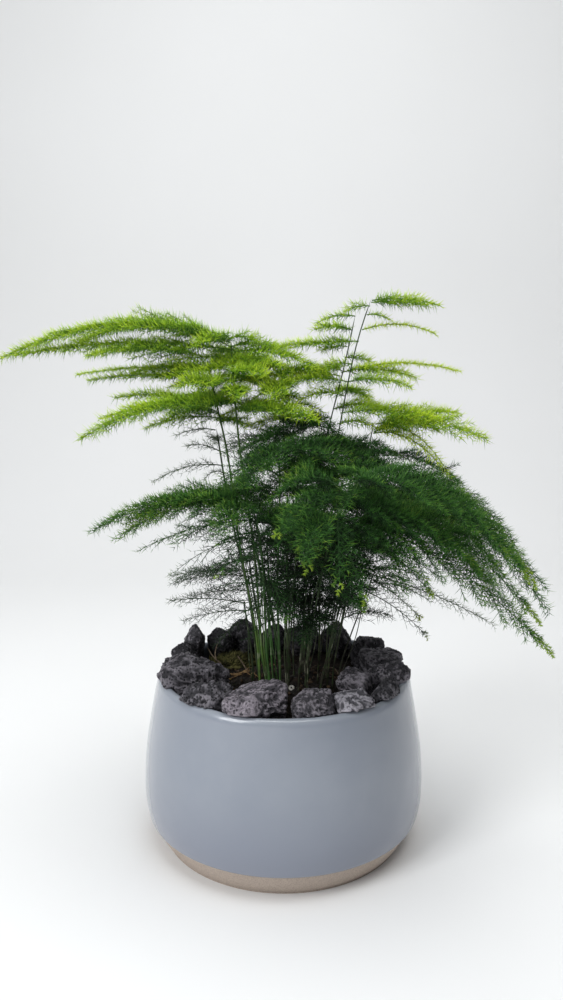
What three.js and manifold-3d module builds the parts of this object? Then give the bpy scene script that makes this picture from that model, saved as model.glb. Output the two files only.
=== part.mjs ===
// A potted asparagus fern: a round glazed pot, potting soil, a ring of lava stones and some thirty
// leafy stems that carry flat, layered sprays of needle-like leaves.
// Millimetres, +Z up. The origin is the middle of the pot's flat base, and the front faces -Y.
import * as THREE from "three";
import { mergeVertices } from "three/addons/utils/BufferGeometryUtils.js";
import Module from "manifold-3d";

const wasm = await Module();
wasm.setup();

// Driving dimensions of the pot
const POT_HEIGHT = 90;
const POT_RADIUS = 77.5;
const RIM_RADIUS = 70;
const FOOT_RADIUS = 65.5;
const WALL = 5;
const FLOOR = 7;
const FLOOR_RADIUS = 60;
const POT_SIDES = 36;
const GAP = 0.35;

// Driving dimensions of what fills the pot
const SHELF = 79.5;
const MOUND = 84;
const MOUND_RADIUS = 24;
const SHELF_RADIUS = 33;
const HOLE_DEPTH = 16;
const HOLE_SIDES = 6;

// Driving dimensions of the foliage
const STEM_RADIUS = 0.75;
const SPRAY_RADIUS = 0.5;
const TIP_RADIUS = 0.34;
const NODE_LENGTH = 1.4;
const NEEDLE = 6;
const NEEDLE_ROOM = 0.42;
const NEEDLE_STEP = 13;
const CLEARANCE = 0.45;
const CORE_CLEARANCE = 1.4;
const COLLAR = 3;
const TWIG_LEAN = 52;
const NEEDLE_LEAN = 48;
const GOLDEN = 0.618033988749895;

const model = new THREE.Group();
const V = (x, y, z) => new THREE.Vector3(x, y, z);
const radians = THREE.MathUtils.degToRad;
const UP = V(0, 0, 1);

const finishes = {
  glaze: new THREE.MeshStandardMaterial({ color: 0xb9c1cc, roughness: 0.2, metalness: 0 }),
  soil: new THREE.MeshStandardMaterial({ color: 0x2b211a, roughness: 1, metalness: 0 }),
  stone: new THREE.MeshStandardMaterial({ color: 0x55515a, roughness: 0.95, metalness: 0 }),
  bright: new THREE.MeshStandardMaterial({ color: 0x93bf2e, roughness: 0.6, metalness: 0 }),
  deep: new THREE.MeshStandardMaterial({ color: 0x2f6427, roughness: 0.65, metalness: 0 }),
  sparse: new THREE.MeshStandardMaterial({ color: 0x5d7d4a, roughness: 0.7, metalness: 0 }),
};

function place(name, geometry, finish) {
  const mesh = new THREE.Mesh(geometry, finish.clone());
  mesh.name = name;
  model.add(mesh);
}

// A fraction from 0 to 1 that spreads evenly as n counts up, and is the same on every run.
const spread = (n) => (n * GOLDEN) % 1;

// The pot is one turned shell: a flat foot with a bare, rounded band round it, a low lip where the
// glaze begins, a belly that swells to its widest a third of the way up, a shoulder that leans in,
// and a rounded rim.
const potSide = [
  [FOOT_RADIUS, 0], [67.7, 1.7], [69.8, 5], [71.9, 9], [73.8, 13], [75.7, 14.5], [76.9, 20],
  [POT_RADIUS, 28], [77.3, 39], [76.2, 52], [74.5, 63], [72.3, 75], [70.8, 83],
];

// Inner wall, one wall thickness inside the outer side at the same height.
function innerRadius(z) {
  const above = potSide.findIndex(([, height]) => height >= z);
  if (above < 0) return RIM_RADIUS - WALL;
  const [r1, z1] = potSide[above];
  const [r0, z0] = potSide[Math.max(above - 1, 0)];
  const along = z1 > z0 ? (z - z0) / (z1 - z0) : 0;
  return THREE.MathUtils.lerp(r0, r1, along) - WALL;
}

function turned(profile) {
  const points = profile.map(([r, z]) => new THREE.Vector2(r, z));
  const lathe = new THREE.LatheGeometry(points, POT_SIDES);
  lathe.deleteAttribute("normal");
  lathe.deleteAttribute("uv");
  const closed = mergeVertices(lathe.rotateX(Math.PI / 2), 1e-4);
  return withoutSlivers(closed);
}

// A turned shape has triangles of no area where its profile meets the axis: they are left out.
function withoutSlivers(geometry) {
  const index = geometry.index.array;
  const kept = [];
  for (let i = 0; i < index.length; i += 3) {
    const [a, b, c] = [index[i], index[i + 1], index[i + 2]];
    if (a !== b && b !== c && c !== a) kept.push(a, b, c);
  }
  geometry.setIndex(kept);
  return geometry;
}

const innerHeights = [76, 52, 27, 15];
const rimRound = [[RIM_RADIUS, 88], [RIM_RADIUS - 1.4, 89.7], [RIM_RADIUS - 2.6, POT_HEIGHT],
  [RIM_RADIUS - 4, 89.4], [RIM_RADIUS - WALL, 87.5]];
const potWall = innerHeights.map((z) => [innerRadius(z), z]);
const potFloor = [[FLOOR_RADIUS, FLOOR], [0, FLOOR]];
place("pot", turned([[0, 0], ...potSide, ...rimRound, ...potWall, ...potFloor]), finishes.glaze);

// Leafy stems. Each has its foot in the soil, its crown, and a bow: at 1 the stem leans evenly,
// and above 1 it rises steeply first and bends over near the top. A spray is written as
// [height it leaves the stem, bearing in degrees, reach, arch, fall at its tip, half breadth].
// Bearing 0 is +X, to the right; 270 faces the front.
const stems = [
  { name: "tall_left", kind: "bright", foot: [-9, -10], crown: [-29, 0, 274], bow: 1, sprays: [
    [272, 188, 117, 11, -12, 24], [267, 176, 90, 15, -2, 15], [269, 12, 34, 5, -5, 8],
    [252, 300, 34, 3, -1, 13], [248, 234, 42, 3, -3, 16], [243, 95, 46, 4, -4, 13],
    [239, 207, 83, 3, -17, 20], [235, 323, 52, 3, -6, 13]] },
  { name: "tall_far_left", kind: "bright", foot: [-13, -5], crown: [-42, 16, 265], bow: 1.2, sprays: [
    [262, 170, 71, 5, 2, 16], [258, 18, 50, 4, -2, 14], [255, 160, 87, 2, -1, 13],
    [250, 174, 80, 2, 0, 12], [246, 150, 66, 1, 2, 11], [239, 108, 48, 4, -4, 13],
    [232, 203, 56, 5, 8, 13]] },
  { name: "tall_right", kind: "bright", foot: [19, -5], crown: [47, 4, 292], bow: 2.6, sprays: [
    [290, 352, 32, 2, -1, 6], [286, 22, 21, 1, -3, 5], [277, 16, 45, 5, 0, 6],
    [272, 300, 19, 1, -2, 5], [267, 168, 49, 1, 4, 9], [256, 16, 66, 5, 4, 11],
    [251, 337, 48, 4, 0, 13], [243, 204, 47, 3, -4, 14], [237, 98, 42, 3, -6, 12]] },
  { name: "tall_mid_right", kind: "bright", foot: [14, 2], crown: [41, 16, 291], bow: 2.2, sprays: [
    [288, 165, 24, 2, -1, 6], [279, 215, 20, 2, -1, 7], [262, 122, 40, 3, -3, 12],
    [252, 190, 52, 3, -3, 15], [244, 60, 44, 3, -5, 12], [229, 176, 46, 3, -4, 13]] },
  { name: "bright_right", kind: "bright", foot: [24, -10], crown: [50, 2, 228], bow: 1.3, sprays: [
    [226, 341, 58, 5, -7, 18], [223, 16, 50, 4, 9, 12], [219, 306, 38, 3, -9, 12],
    [215, 353, 42, 6, -20, 6], [211, 72, 38, 3, -5, 11]] },
  { name: "bright_middle", kind: "bright", foot: [3, -2], crown: [0, 8, 258], bow: 1.2, sprays: [
    [256, 204, 48, 3, -2, 15], [252, 348, 36, 3, -3, 12], [246, 262, 38, 3, -6, 13],
    [241, 88, 40, 3, -6, 12], [236, 150, 42, 3, -6, 12]] },
  { name: "left_arch", kind: "deep", foot: [-5, -15], crown: [-19, -22, 192], bow: 1.3, sprays: [
    [190, 199, 80, 8, -12, 16], [186, 252, 42, 3, -9, 13], [181, 335, 32, 3, -6, 11],
    [177, 161, 68, 4, -19, 11], [171, 218, 48, 3, -16, 12]] },
  { name: "left_sparse", kind: "sparse", foot: [-14, 4], crown: [-39, 24, 224], bow: 1.2, sprays: [
    [216, 98, 34, 3, -4, 9], [208, 172, 28, 2, 3, 8], [192, 167, 38, 6, -3, 9],
    [185, 60, 32, 2, -6, 9], [178, 214, 30, 2, -5, 8]] },
  { name: "left_low", kind: "sparse", foot: [-11, 9], crown: [-20, 19, 153], bow: 1.3, sprays: [
    [151, 166, 50, 3, -10, 11], [147, 98, 34, 3, -8, 10], [143, 32, 30, 2, -8, 9],
    [138, 199, 46, 3, 0, 9]] },
  { name: "left_lowest", kind: "sparse", foot: [-17, -1], crown: [-22, 9, 128], bow: 1.3, sprays: [
    [125, 184, 40, 2, 3, 8], [121, 165, 38, 2, -10, 8], [117, 236, 27, 2, -8, 7]] },
  { name: "centre_left", kind: "deep", foot: [-2, -17], crown: [-3, -21, 214], bow: 1,
    tiers: { count: 6, top: 211, step: 9, bearing: 250, reach: 44, arch: 4, fall: -12, breadth: 13 } },
  { name: "centre", kind: "deep", foot: [3, -9], crown: [10, -4, 222], bow: 1.2,
    tiers: { count: 6, top: 219, step: 10, bearing: 20, reach: 42, arch: 4, fall: -10, breadth: 13 } },
  { name: "centre_back", kind: "deep", foot: [6, 4], crown: [6, 22, 218], bow: 1.2,
    tiers: { count: 6, top: 215, step: 10, bearing: 130, reach: 46, arch: 4, fall: -14, breadth: 13 } },
  { name: "centre_right", kind: "deep", foot: [12, -11], crown: [33, -10, 213], bow: 1.4,
    tiers: { count: 6, top: 209, step: 9, bearing: 330, reach: 42, arch: 4, fall: -12, breadth: 13 } },
  { name: "right_back", kind: "deep", foot: [24, 5], crown: [57, 16, 211], bow: 1.3,
    tiers: { count: 6, top: 208, step: 10, bearing: 15, reach: 48, arch: 5, fall: -16, breadth: 13 } },
  { name: "right_mid", kind: "deep", foot: [20, -13], crown: [60, -18, 203], bow: 1.4,
    tiers: { count: 5, top: 200, step: 9, bearing: 345, reach: 46, arch: 5, fall: -20, breadth: 13 } },
  { name: "front", kind: "deep", foot: [2, -22], crown: [7, -44, 190], bow: 1.3,
    tiers: { count: 5, top: 187, step: 9, bearing: 275, reach: 42, arch: 6, fall: -22, breadth: 12 } },
  { name: "front_left", kind: "deep", foot: [-7, -20], crown: [-13, -42, 178], bow: 1.3,
    tiers: { count: 5, top: 175, step: 8, bearing: 225, reach: 40, arch: 5, fall: -18, breadth: 12 } },
  { name: "right_front", kind: "deep", foot: [13, -18], crown: [27, -61, 202], bow: 1.6, sprays: [
    [199, 345, 88, 20, -42, 15], [195, 216, 36, 5, -16, 11], [190, 269, 32, 6, -34, 11],
    [183, 342, 102, 12, -58, 15], [179, 293, 34, 5, -30, 10]] },
  { name: "right_arch", kind: "deep", foot: [27, -9], crown: [51, -34, 199], bow: 1.6, sprays: [
    [196, 330, 82, 14, -54, 14], [191, 356, 84, 12, -46, 13], [186, 38, 44, 4, -12, 11],
    [181, 284, 42, 8, -30, 11]] },
  { name: "right_low", kind: "sparse", foot: [31, 2], crown: [52, 14, 143], bow: 1.3, sprays: [
    [140, 351, 68, 3, -26, 9], [136, 30, 44, 3, -16, 9], [131, 326, 38, 3, -20, 8]] },
  { name: "back", kind: "deep", foot: [11, 12], crown: [18, 54, 202], bow: 1.4,
    tiers: { count: 6, top: 199, step: 10, bearing: 75, reach: 54, arch: 6, fall: -22, breadth: 13 } },
  { name: "back_left", kind: "deep", foot: [-2, 12], crown: [-23, 52, 190], bow: 1.3,
    tiers: { count: 5, top: 187, step: 10, bearing: 135, reach: 54, arch: 6, fall: -22, breadth: 13 } },
  { name: "back_right", kind: "deep", foot: [20, 12], crown: [50, 50, 192], bow: 1.3,
    tiers: { count: 5, top: 189, step: 10, bearing: 40, reach: 54, arch: 6, fall: -24, breadth: 13 } },
  { name: "far_back", kind: "deep", foot: [4, 15], crown: [0, 66, 172], bow: 1.5,
    tiers: { count: 4, top: 169, step: 9, bearing: 95, reach: 46, arch: 6, fall: -24, breadth: 12 } },
  { name: "young_left", kind: "deep", foot: [-8, -4], crown: [-9, -7, 168], bow: 1,
    tiers: { count: 3, top: 164, step: 8, bearing: 200, reach: 24, arch: 2, fall: -6, breadth: 8 } },
  { name: "young_front", kind: "deep", foot: [8, -18], crown: [12, -26, 160], bow: 1,
    tiers: { count: 3, top: 157, step: 8, bearing: 300, reach: 24, arch: 2, fall: -6, breadth: 8 } },
  { name: "young_right", kind: "deep", foot: [22, -2], crown: [34, 2, 166], bow: 1,
    tiers: { count: 3, top: 163, step: 8, bearing: 340, reach: 26, arch: 2, fall: -6, breadth: 8 } },
  { name: "young_back", kind: "deep", foot: [13, 7], crown: [22, 26, 164], bow: 1,
    tiers: { count: 3, top: 161, step: 8, bearing: 60, reach: 26, arch: 2, fall: -6, breadth: 8 } },
];

// Sprays of a stem with tiers turn round it by the golden angle, and lengthen a little downwards.
const GOLDEN_ANGLE = 137.5;
function spraysOf(stem) {
  if (stem.sprays) return stem.sprays;
  const { count, top, step, bearing, reach, arch, fall, breadth } = stem.tiers;
  const outer = radians(bearing);
  return Array.from({ length: count }, (_, tier) => {
    const turn = bearing + tier * GOLDEN_ANGLE;
    const outward = 0.5 + 0.5 * Math.cos(radians(turn) - outer);
    const length = reach * (0.68 + 0.32 * outward);
    return [top - tier * step, turn, length, arch, fall * (0.5 + 0.5 * outward), breadth];
  });
}

// Point of a stem at a height: plumb in the soil, then leaning to the crown by the power "bow".
function stemPoint(stem, z) {
  const [footX, footY] = stem.foot;
  const [crownX, crownY, crownZ] = stem.crown;
  const rise = Math.max(0, (z - MOUND) / (crownZ - MOUND));
  const lean = rise ** stem.bow;
  return V(footX + (crownX - footX) * lean, footY + (crownY - footY) * lean, z);
}

// Point of a spray's midrib at u from 0 to 1: a straight run out, lifted by a parabola.
function sprayPoint(start, [, bearing, reach, arch, fall], u) {
  const out = radians(bearing);
  const lift = fall * u + 4 * arch * u * (1 - u);
  return V(start.x + reach * u * Math.cos(out), start.y + reach * u * Math.sin(out), start.z + lift);
}

// Shortest distance between two straight pieces p-q and r-s.
function distanceBetween(p, q, r, s) {
  const d1 = q.clone().sub(p);
  const d2 = s.clone().sub(r);
  const between = p.clone().sub(r);
  const [a, e, f] = [d1.lengthSq(), d2.lengthSq(), d2.dot(between)];
  const [b, c] = [d1.dot(d2), d1.dot(between)];
  const square = a * e - b * b;
  const clamp = THREE.MathUtils.clamp;
  let along1 = square > 1e-9 ? clamp((b * f - c * e) / square, 0, 1) : 0;
  const along2 = clamp((b * along1 + f) / e, 0, 1);
  along1 = clamp((b * along2 - c) / a, 0, 1);
  return p.clone().addScaledVector(d1, along1).distanceTo(r.clone().addScaledVector(d2, along2));
}

// Every core, twig and needle that is in place, so that what comes next stays clear of it.
const LONGEST_PART = 110;
const placed = [];
function isClear(part, spare = CLEARANCE) {
  return placed.every((other) => {
    const related = other.stem === part.stem
      && (other.limb === part.limb || other.limb === part.parent || other.station === part.station);
    if (related && (other.core || other.station === part.station)) return true;
    const room = part.radius + other.radius + spare;
    if (other.from.distanceTo(part.from) > LONGEST_PART + room) return true;
    return distanceBetween(part.from, part.to, other.from, other.to) > room;
  });
}

// One closed skin that is grown face by face: a needle is a face raised to a point.
class Skin {
  points = [];
  faces = [];

  ring(centre, across, over, radius, angles) {
    return angles.map((angle) => {
      const point = centre.clone().addScaledVector(across, radius * Math.cos(radians(angle)));
      return this.points.push(point.addScaledVector(over, radius * Math.sin(radians(angle)))) - 1;
    });
  }

  quad(a, b, c, d) {
    this.faces.push(a, b, c, a, c, d);
  }

  raise(corners, apex) {
    const tip = this.points.push(apex) - 1;
    corners.forEach((corner, i) => this.faces.push(corner, corners[(i + 1) % corners.length], tip));
  }

  side(back, front, i) {
    const next = (i + 1) % back.length;
    return [back[i], back[next], front[next], front[i]];
  }

  // Where one ring is turned against the next, each face is split along the diagonal whose ends
  // stand at the nearer angles, so that the stretch between them stays full.
  join(back, front) {
    const [from, to] = [this.middle(back), this.middle(front)];
    const apart = (i, j) => this.points[i].clone().sub(from).distanceTo(this.points[j].clone().sub(to));
    back.forEach((_, i) => {
      const [a, b, c, d] = this.side(back, front, i);
      if (apart(a, c) <= apart(b, d)) this.quad(a, b, c, d);
      else this.quad(b, c, d, a);
    });
  }

  middle(corners) {
    return corners.reduce((sum, i) => sum.add(this.points[i]), V(0, 0, 0)).divideScalar(corners.length);
  }

  geometry() {
    const shape = new THREE.BufferGeometry().setFromPoints(this.points);
    return shape.setIndex(this.faces);
  }
}

const STEM_ANGLES = [45, 135, 225, 315];

// A spray's core has three faces. At every other node it stands on its edge, so that the third
// face, which carries a needle, is below at one node and on top at the next.
const NODE_TURNS = [
  { corners: [330, 90, 210], faces: ["left", "right", "below"] },
  { corners: [30, 150, 270], faces: ["above", "right", "left"] },
];
const FACINGS = { left: 2, right: 178, above: 90, below: 270 };

// Steps of a spray: a short node that carries twigs and needles, then a bare stretch.
function sprayStations(reach) {
  const count = Math.max(2, Math.round(reach / NEEDLE_STEP));
  return Array.from({ length: count }, (_, i) => (i + 0.75) / (count + 0.35));
}

// Length of a side twig at u along a spray: widest a third of the way out, pointed at the tip.
function twigLength(breadth, u) {
  const outline = Math.min(1, 0.6 + 1.6 * u) * (1 - u) ** 0.6;
  return Math.max(NEEDLE, 1.15 * breadth * outline);
}

// A spray that would cross another is turned or lifted a little at a time until its core is clear.
const TURNS = [0, 4, -4, 8, -8, 12, -12, 16, -16];
const LIFTS = [0, 3, -3];

function bentBy(turn, lift, [height, bearing, reach, arch, fall, breadth]) {
  return [height, bearing + turn, reach, arch + lift / 2, fall + lift, breadth];
}

function planSpray(stem, spray, limb) {
  const start = stemPoint(stem, spray[0] + NODE_LENGTH / 2);
  const ways = TURNS.flatMap((turn) => LIFTS.map((lift) => bentBy(turn, lift, spray)));
  const fits = (way) => coreOf(stem, start, way, limb).every((part) => isClear(part, CORE_CLEARANCE));
  const bent = ways.find(fits);
  if (!bent) return null;
  placed.push(...coreOf(stem, start, bent, limb));
  return { start, spray: bent, limb };
}

function coreOf(stem, start, spray, limb) {
  const stops = [0.06, 0.25, 0.5, 0.75, 1];
  const points = stops.map((u) => sprayPoint(start, spray, u));
  const kind = { stem: stem.name, limb, parent: "stem", station: "core", core: true, radius: SPRAY_RADIUS };
  return points.slice(1).map((to, i) => ({ ...kind, from: points[i], to }));
}

// A spray grows out of one face of its stem: a collar, then nodes with twigs and needles in turn.
function growSpray(skin, corners, stem, plan) {
  const { start, spray, limb } = plan;
  const [, , reach, , , breadth] = spray;
  const frameAt = (u) => {
    const ahead = sprayPoint(start, spray, u + 0.01).sub(sprayPoint(start, spray, u - 0.01)).normalize();
    const left = UP.clone().cross(ahead).normalize();
    return { ahead, left, over: ahead.clone().cross(left) };
  };
  const ringAt = (u, angles) => {
    const { left, over } = frameAt(u);
    const radius = THREE.MathUtils.lerp(SPRAY_RADIUS, TIP_RADIUS, u);
    return skin.ring(sprayPoint(start, spray, u), left, over, radius, angles);
  };
  const collar = ringAt(COLLAR / reach, NODE_TURNS[0].corners);
  const [rightDown, leftDown, leftUp, rightUp] = corners;
  skin.quad(rightDown, leftDown, collar[0], collar[2]);
  skin.quad(leftDown, leftUp, collar[1], collar[0]);
  skin.faces.push(leftUp, rightUp, collar[1]);
  skin.quad(rightUp, rightDown, collar[2], collar[1]);
  let back = collar;
  sprayStations(reach).forEach((u, count) => {
    const { corners: angles, faces } = NODE_TURNS[(count + 1) % 2];
    const near = ringAt(u, angles);
    const far = ringAt(u + NODE_LENGTH / reach, angles);
    skin.join(back, near);
    const { ahead, left, over } = frameAt(u);
    faces.forEach((facing, side) => {
      const face = skin.side(near, far, side);
      const isTwig = facing === "left" || facing === "right";
      const draw = spread(count * 3 + side + reach);
      const lean = radians(isTwig ? TWIG_LEAN + 14 * (draw - 0.5) : NEEDLE_LEAN);
      const rise = radians(FACINGS[facing]);
      const outward = left.clone().multiplyScalar(Math.cos(rise)).addScaledVector(over, Math.sin(rise));
      const along = ahead.clone().multiplyScalar(Math.cos(lean)).addScaledVector(outward, Math.sin(lean));
      const length = (isTwig ? twigLength(breadth, u) : NEEDLE) * (0.86 + 0.28 * draw);
      const root = skin.middle(face);
      const part = {
        stem: stem.name, limb, parent: limb, station: `${limb}.${count}`, core: false, radius: NEEDLE_ROOM,
        from: root.clone().addScaledVector(along, 0.8), to: root.clone().addScaledVector(along, length),
      };
      if (isClear(part)) {
        placed.push(part);
        skin.raise(face, part.to);
      } else {
        skin.quad(...face);
      }
    });
    back = far;
  });
  skin.raise(back, sprayPoint(start, spray, 1));
}

// A stem is a four-sided wiry core from the bottom of its hole to its crown.
function growStem(stem, plans) {
  const skin = new Skin();
  const ringAt = (z) => {
    const rise = Math.max(0, (z - MOUND) / (stem.crown[2] - MOUND));
    const radius = THREE.MathUtils.lerp(STEM_RADIUS, SPRAY_RADIUS, rise);
    return skin.ring(stemPoint(stem, z), V(1, 0, 0), V(0, 1, 0), radius, STEM_ANGLES);
  };
  let height = MOUND - HOLE_DEPTH + GAP;
  let back = ringAt(height);
  skin.quad(back[3], back[2], back[1], back[0]);
  const climb = (top) => {
    const steps = Math.max(1, Math.round((top - height) / 34));
    const from = height;
    for (let i = 1; i <= steps; i += 1) {
      const next = ringAt(from + ((top - from) * i) / steps);
      skin.join(back, next);
      back = next;
    }
    height = top;
  };
  climb(MOUND);
  [...plans].sort((a, b) => a.spray[0] - b.spray[0]).forEach((plan) => {
    climb(plan.spray[0]);
    const front = ringAt(height + NODE_LENGTH);
    const facing = (((Math.round(plan.spray[1] / 90) - 1) % 4) + 4) % 4;
    back.forEach((_, i) => {
      const corners = skin.side(back, front, i);
      if (i === facing) growSpray(skin, corners, stem, plan);
      else skin.quad(...corners);
    });
    back = front;
    height += NODE_LENGTH;
  });
  skin.raise(back, stemPoint(stem, height + 3));
  return skin.geometry();
}

stems.forEach((stem) => {
  const rises = [0, 0.25, 0.5, 0.75, 1].map((share) => THREE.MathUtils.lerp(MOUND, stem.crown[2], share));
  const points = [MOUND - HOLE_DEPTH, ...rises].map((z) => stemPoint(stem, z));
  const core = { stem: stem.name, limb: "stem", parent: "", station: "core", core: true };
  points.slice(1).forEach((to, i) => placed.push({ ...core, radius: STEM_RADIUS, from: points[i], to }));
});
const plans = stems.map((stem) => spraysOf(stem).map((spray, i) => planSpray(stem, spray, `spray${i}`)));
stems.forEach((stem, i) => {
  place(`stem_${stem.name}`, growStem(stem, plans[i].filter(Boolean)), finishes[stem.kind]);
});

// The soil fills the pot to a flat shelf that carries the stones, and is mounded in the middle,
// where each stem stands in a plain hole of its own.
function asSolid(geometry) {
  const mesh = new wasm.Mesh({
    numProp: 3,
    vertProperties: Float32Array.from(geometry.attributes.position.array),
    triVerts: Uint32Array.from(geometry.index.array),
  });
  return new wasm.Manifold(mesh);
}

function asGeometry(solid) {
  const { vertProperties, triVerts } = solid.getMesh();
  const geometry = new THREE.BufferGeometry();
  geometry.setAttribute("position", new THREE.BufferAttribute(Float32Array.from(vertProperties), 3));
  geometry.setIndex(Array.from(triVerts));
  return geometry;
}

const soilWall = [...innerHeights].reverse().map((z) => [innerRadius(z) - GAP, z]);
const soilTop = [[innerRadius(SHELF) - GAP, SHELF], [SHELF_RADIUS, SHELF], [MOUND_RADIUS, MOUND], [0, MOUND]];
const soilFloor = [[0, FLOOR + GAP], [FLOOR_RADIUS - GAP, FLOOR + GAP]];
let soil = asSolid(turned([...soilFloor, ...soilWall, ...soilTop]));
stems.forEach(({ foot: [x, y] }) => {
  const hole = new THREE.CylinderGeometry(STEM_RADIUS + GAP, STEM_RADIUS + GAP, 2 * HOLE_DEPTH, HOLE_SIDES);
  hole.deleteAttribute("normal");
  hole.deleteAttribute("uv");
  const drill = mergeVertices(hole.rotateX(Math.PI / 2).translate(x, y, MOUND), 1e-4);
  soil = soil.subtract(asSolid(drill));
});
place("soil", asGeometry(soil), finishes.soil);

// Lava stones lie in a ring on the shelf of soil: [name, x, y, width, depth, height, turn].
const stones = [
  ["left_big", -47, -18, 32, 28, 27, 10], ["left_outer", -58, 3, 19, 18, 19, 40],
  ["left_front", -38, -45, 28, 24, 22, 30], ["front_big", -13, -53, 37, 28, 26, 5],
  ["front", 14, -54, 25, 25, 23, 60], ["front_right", 35, -50, 23, 22, 21, 20],
  ["right_inner", 39, -25, 24, 22, 18, 0], ["right_front", 52, -36, 21, 19, 19, 50],
  ["right", 58, -14, 22, 22, 24, 80], ["right_back", 55, 12, 30, 27, 22, 15],
  ["back_right", 49, 37, 23, 22, 20, 35], ["back_tall", 32, 51, 23, 21, 25, 70],
  ["back", 12, 56, 24, 21, 22, 25], ["back_middle", -7, 58, 20, 18, 20, 0],
  ["back_left", -26, 53, 24, 21, 21, 45], ["back_small", -41, 44, 18, 18, 18, 10],
  ["left_upright", -52, 34, 18, 17, 28, 30], ["left_small", -58, 19, 18, 17, 17, 65],
];

const SEAT = 0.4;
const STONE_CUTS = 12;

// Direction k of a set that a spiral spreads evenly over the ball, turned by the stone's order.
function spiralDirection(k, order) {
  const z = 1 - (2 * k + 1) / STONE_CUTS;
  const around = 2 * Math.PI * GOLDEN * k + 1.7 * order;
  const flat = Math.sqrt(1 - z * z);
  return V(flat * Math.cos(around), flat * Math.sin(around), z);
}

// The room that the pot's wall and rim take up, one gap larger all round: stones that lean over
// the rim are cut to it.
const STONE_REACH = 69;
const ROOM_BOTTOM = SHELF - 4;
const rimRoom = [[POT_RADIUS, 88], [RIM_RADIUS, POT_HEIGHT + GAP], [RIM_RADIUS - 3.8, POT_HEIGHT + GAP]];
const innerRoom = [[RIM_RADIUS - WALL - GAP, 88], [innerRadius(SHELF) - GAP, ROOM_BOTTOM]];
const wallRoom = asSolid(turned([innerRoom[1], [POT_RADIUS, ROOM_BOTTOM], ...rimRoom, ...innerRoom]));

// A stone is an ellipsoid that flat breaks cut back at uneven depths. It lies flat on the soil,
// leans on the rim where it reaches that far, and stops half way to each neighbour.
function stoneGeometry([, x, y, width, depth, height, turn], order) {
  const ball = new THREE.IcosahedronGeometry(1, 1);
  ball.deleteAttribute("normal");
  ball.deleteAttribute("uv");
  const geometry = mergeVertices(ball, 1e-4);
  const position = geometry.attributes.position;
  const centre = V(x, y, SHELF + height * SEAT);
  const cuts = Array.from({ length: STONE_CUTS }, (_, k) => {
    return { normal: spiralDirection(k, order), reach: 0.78 + 0.24 * spread(3 * k + 5 * order) };
  });
  const limits = stones.filter((_, i) => i !== order).map(([, otherX, otherY, otherWidth, otherDepth]) => {
    const away = V(otherX - x, otherY - y, 0);
    const share = (width + depth) / (width + depth + otherWidth + otherDepth);
    return { normal: away.clone().normalize(), reach: away.length() * share - GAP };
  });
  limits.push({ normal: V(0, 0, -1), reach: centre.z - SHELF - GAP });
  const cutBack = (offset, planes) => planes.forEach(({ normal, reach }) => {
    const distance = offset.dot(normal);
    if (distance > reach) offset.multiplyScalar(reach / distance);
  });
  for (let i = 0; i < position.count; i += 1) {
    const offset = V(0, 0, 0).fromBufferAttribute(position, i).normalize().multiplyScalar(1.06);
    cutBack(offset, cuts);
    offset.multiply(V(width / 2, depth / 2, height / 2)).applyAxisAngle(UP, radians(turn));
    cutBack(offset, limits);
    const point = centre.clone().add(offset);
    const pull = Math.min(1, STONE_REACH / Math.hypot(point.x, point.y));
    position.setXYZ(i, point.x * pull, point.y * pull, point.z);
  }
  return asGeometry(asSolid(geometry).subtract(wallRoom));
}
stones.forEach((stone, order) => {
  place(`stone_${stone[0]}`, stoneGeometry(stone, order), finishes.stone);
});

export default model;
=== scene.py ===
"""A potted asparagus fern: glazed pot, soil, lava stones, and leafy stems with their needles.

Everything is in metres, +Z up, with the front towards -Y. Sizes are written in millimetres and
multiplied by MM where they are used.
"""

import bmesh
import bpy
import numpy as np
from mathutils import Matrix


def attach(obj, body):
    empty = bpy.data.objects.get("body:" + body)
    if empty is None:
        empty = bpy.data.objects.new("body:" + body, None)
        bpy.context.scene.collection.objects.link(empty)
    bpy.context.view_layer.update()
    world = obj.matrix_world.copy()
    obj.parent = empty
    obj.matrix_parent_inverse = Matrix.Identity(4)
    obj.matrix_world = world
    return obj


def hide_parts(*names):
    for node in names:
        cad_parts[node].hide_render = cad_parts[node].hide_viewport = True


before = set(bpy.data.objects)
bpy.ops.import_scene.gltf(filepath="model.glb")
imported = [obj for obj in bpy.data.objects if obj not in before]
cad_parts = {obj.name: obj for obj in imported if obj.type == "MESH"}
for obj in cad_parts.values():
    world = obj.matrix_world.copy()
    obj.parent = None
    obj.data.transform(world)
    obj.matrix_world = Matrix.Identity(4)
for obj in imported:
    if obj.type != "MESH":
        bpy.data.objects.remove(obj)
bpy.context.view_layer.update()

MM = 0.001
TURN = 2 * np.pi


# The pot: one thrown shell of pale clay, 155 mm across its belly. A glossy blue-grey glaze covers
# it down to 14 mm above the table, where it ends in a soft lip over the bare, cream foot.
POT_STEPS_ROUND = 128
POT_STEPS_PER_SPAN = 3
BARE_FOOT = [(0, 0), (30, 0), (63.6, 0), (66.2, 0.4), (67.7, 1.8), (69.8, 5), (71.9, 9), (73.6, 12.4)]
GLAZE_LIP = [(73.9, 13.2), (74.3, 13.6), (75.1, 13.8), (75.7, 14.4)]
GLAZED_SIDE = [(76.3, 17), (77.1, 22), (77.5, 29), (77.3, 39), (76.2, 52), (74.5, 63), (72.4, 75),
               (70.9, 83)]
ROUND_RIM = [(70.2, 87), (69.5, 88.9), (68.4, 89.8), (67.2, 90), (66.1, 89.6), (65.3, 88.4), (65, 86)]
INNER_SIDE = [(66.6, 78), (69.8, 60), (71.6, 42), (72.3, 28), (70, 15), (60, 8.5), (30, 7), (0, 7)]
GLAZE_COLOUR = (0.236, 0.262, 0.312)
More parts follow.
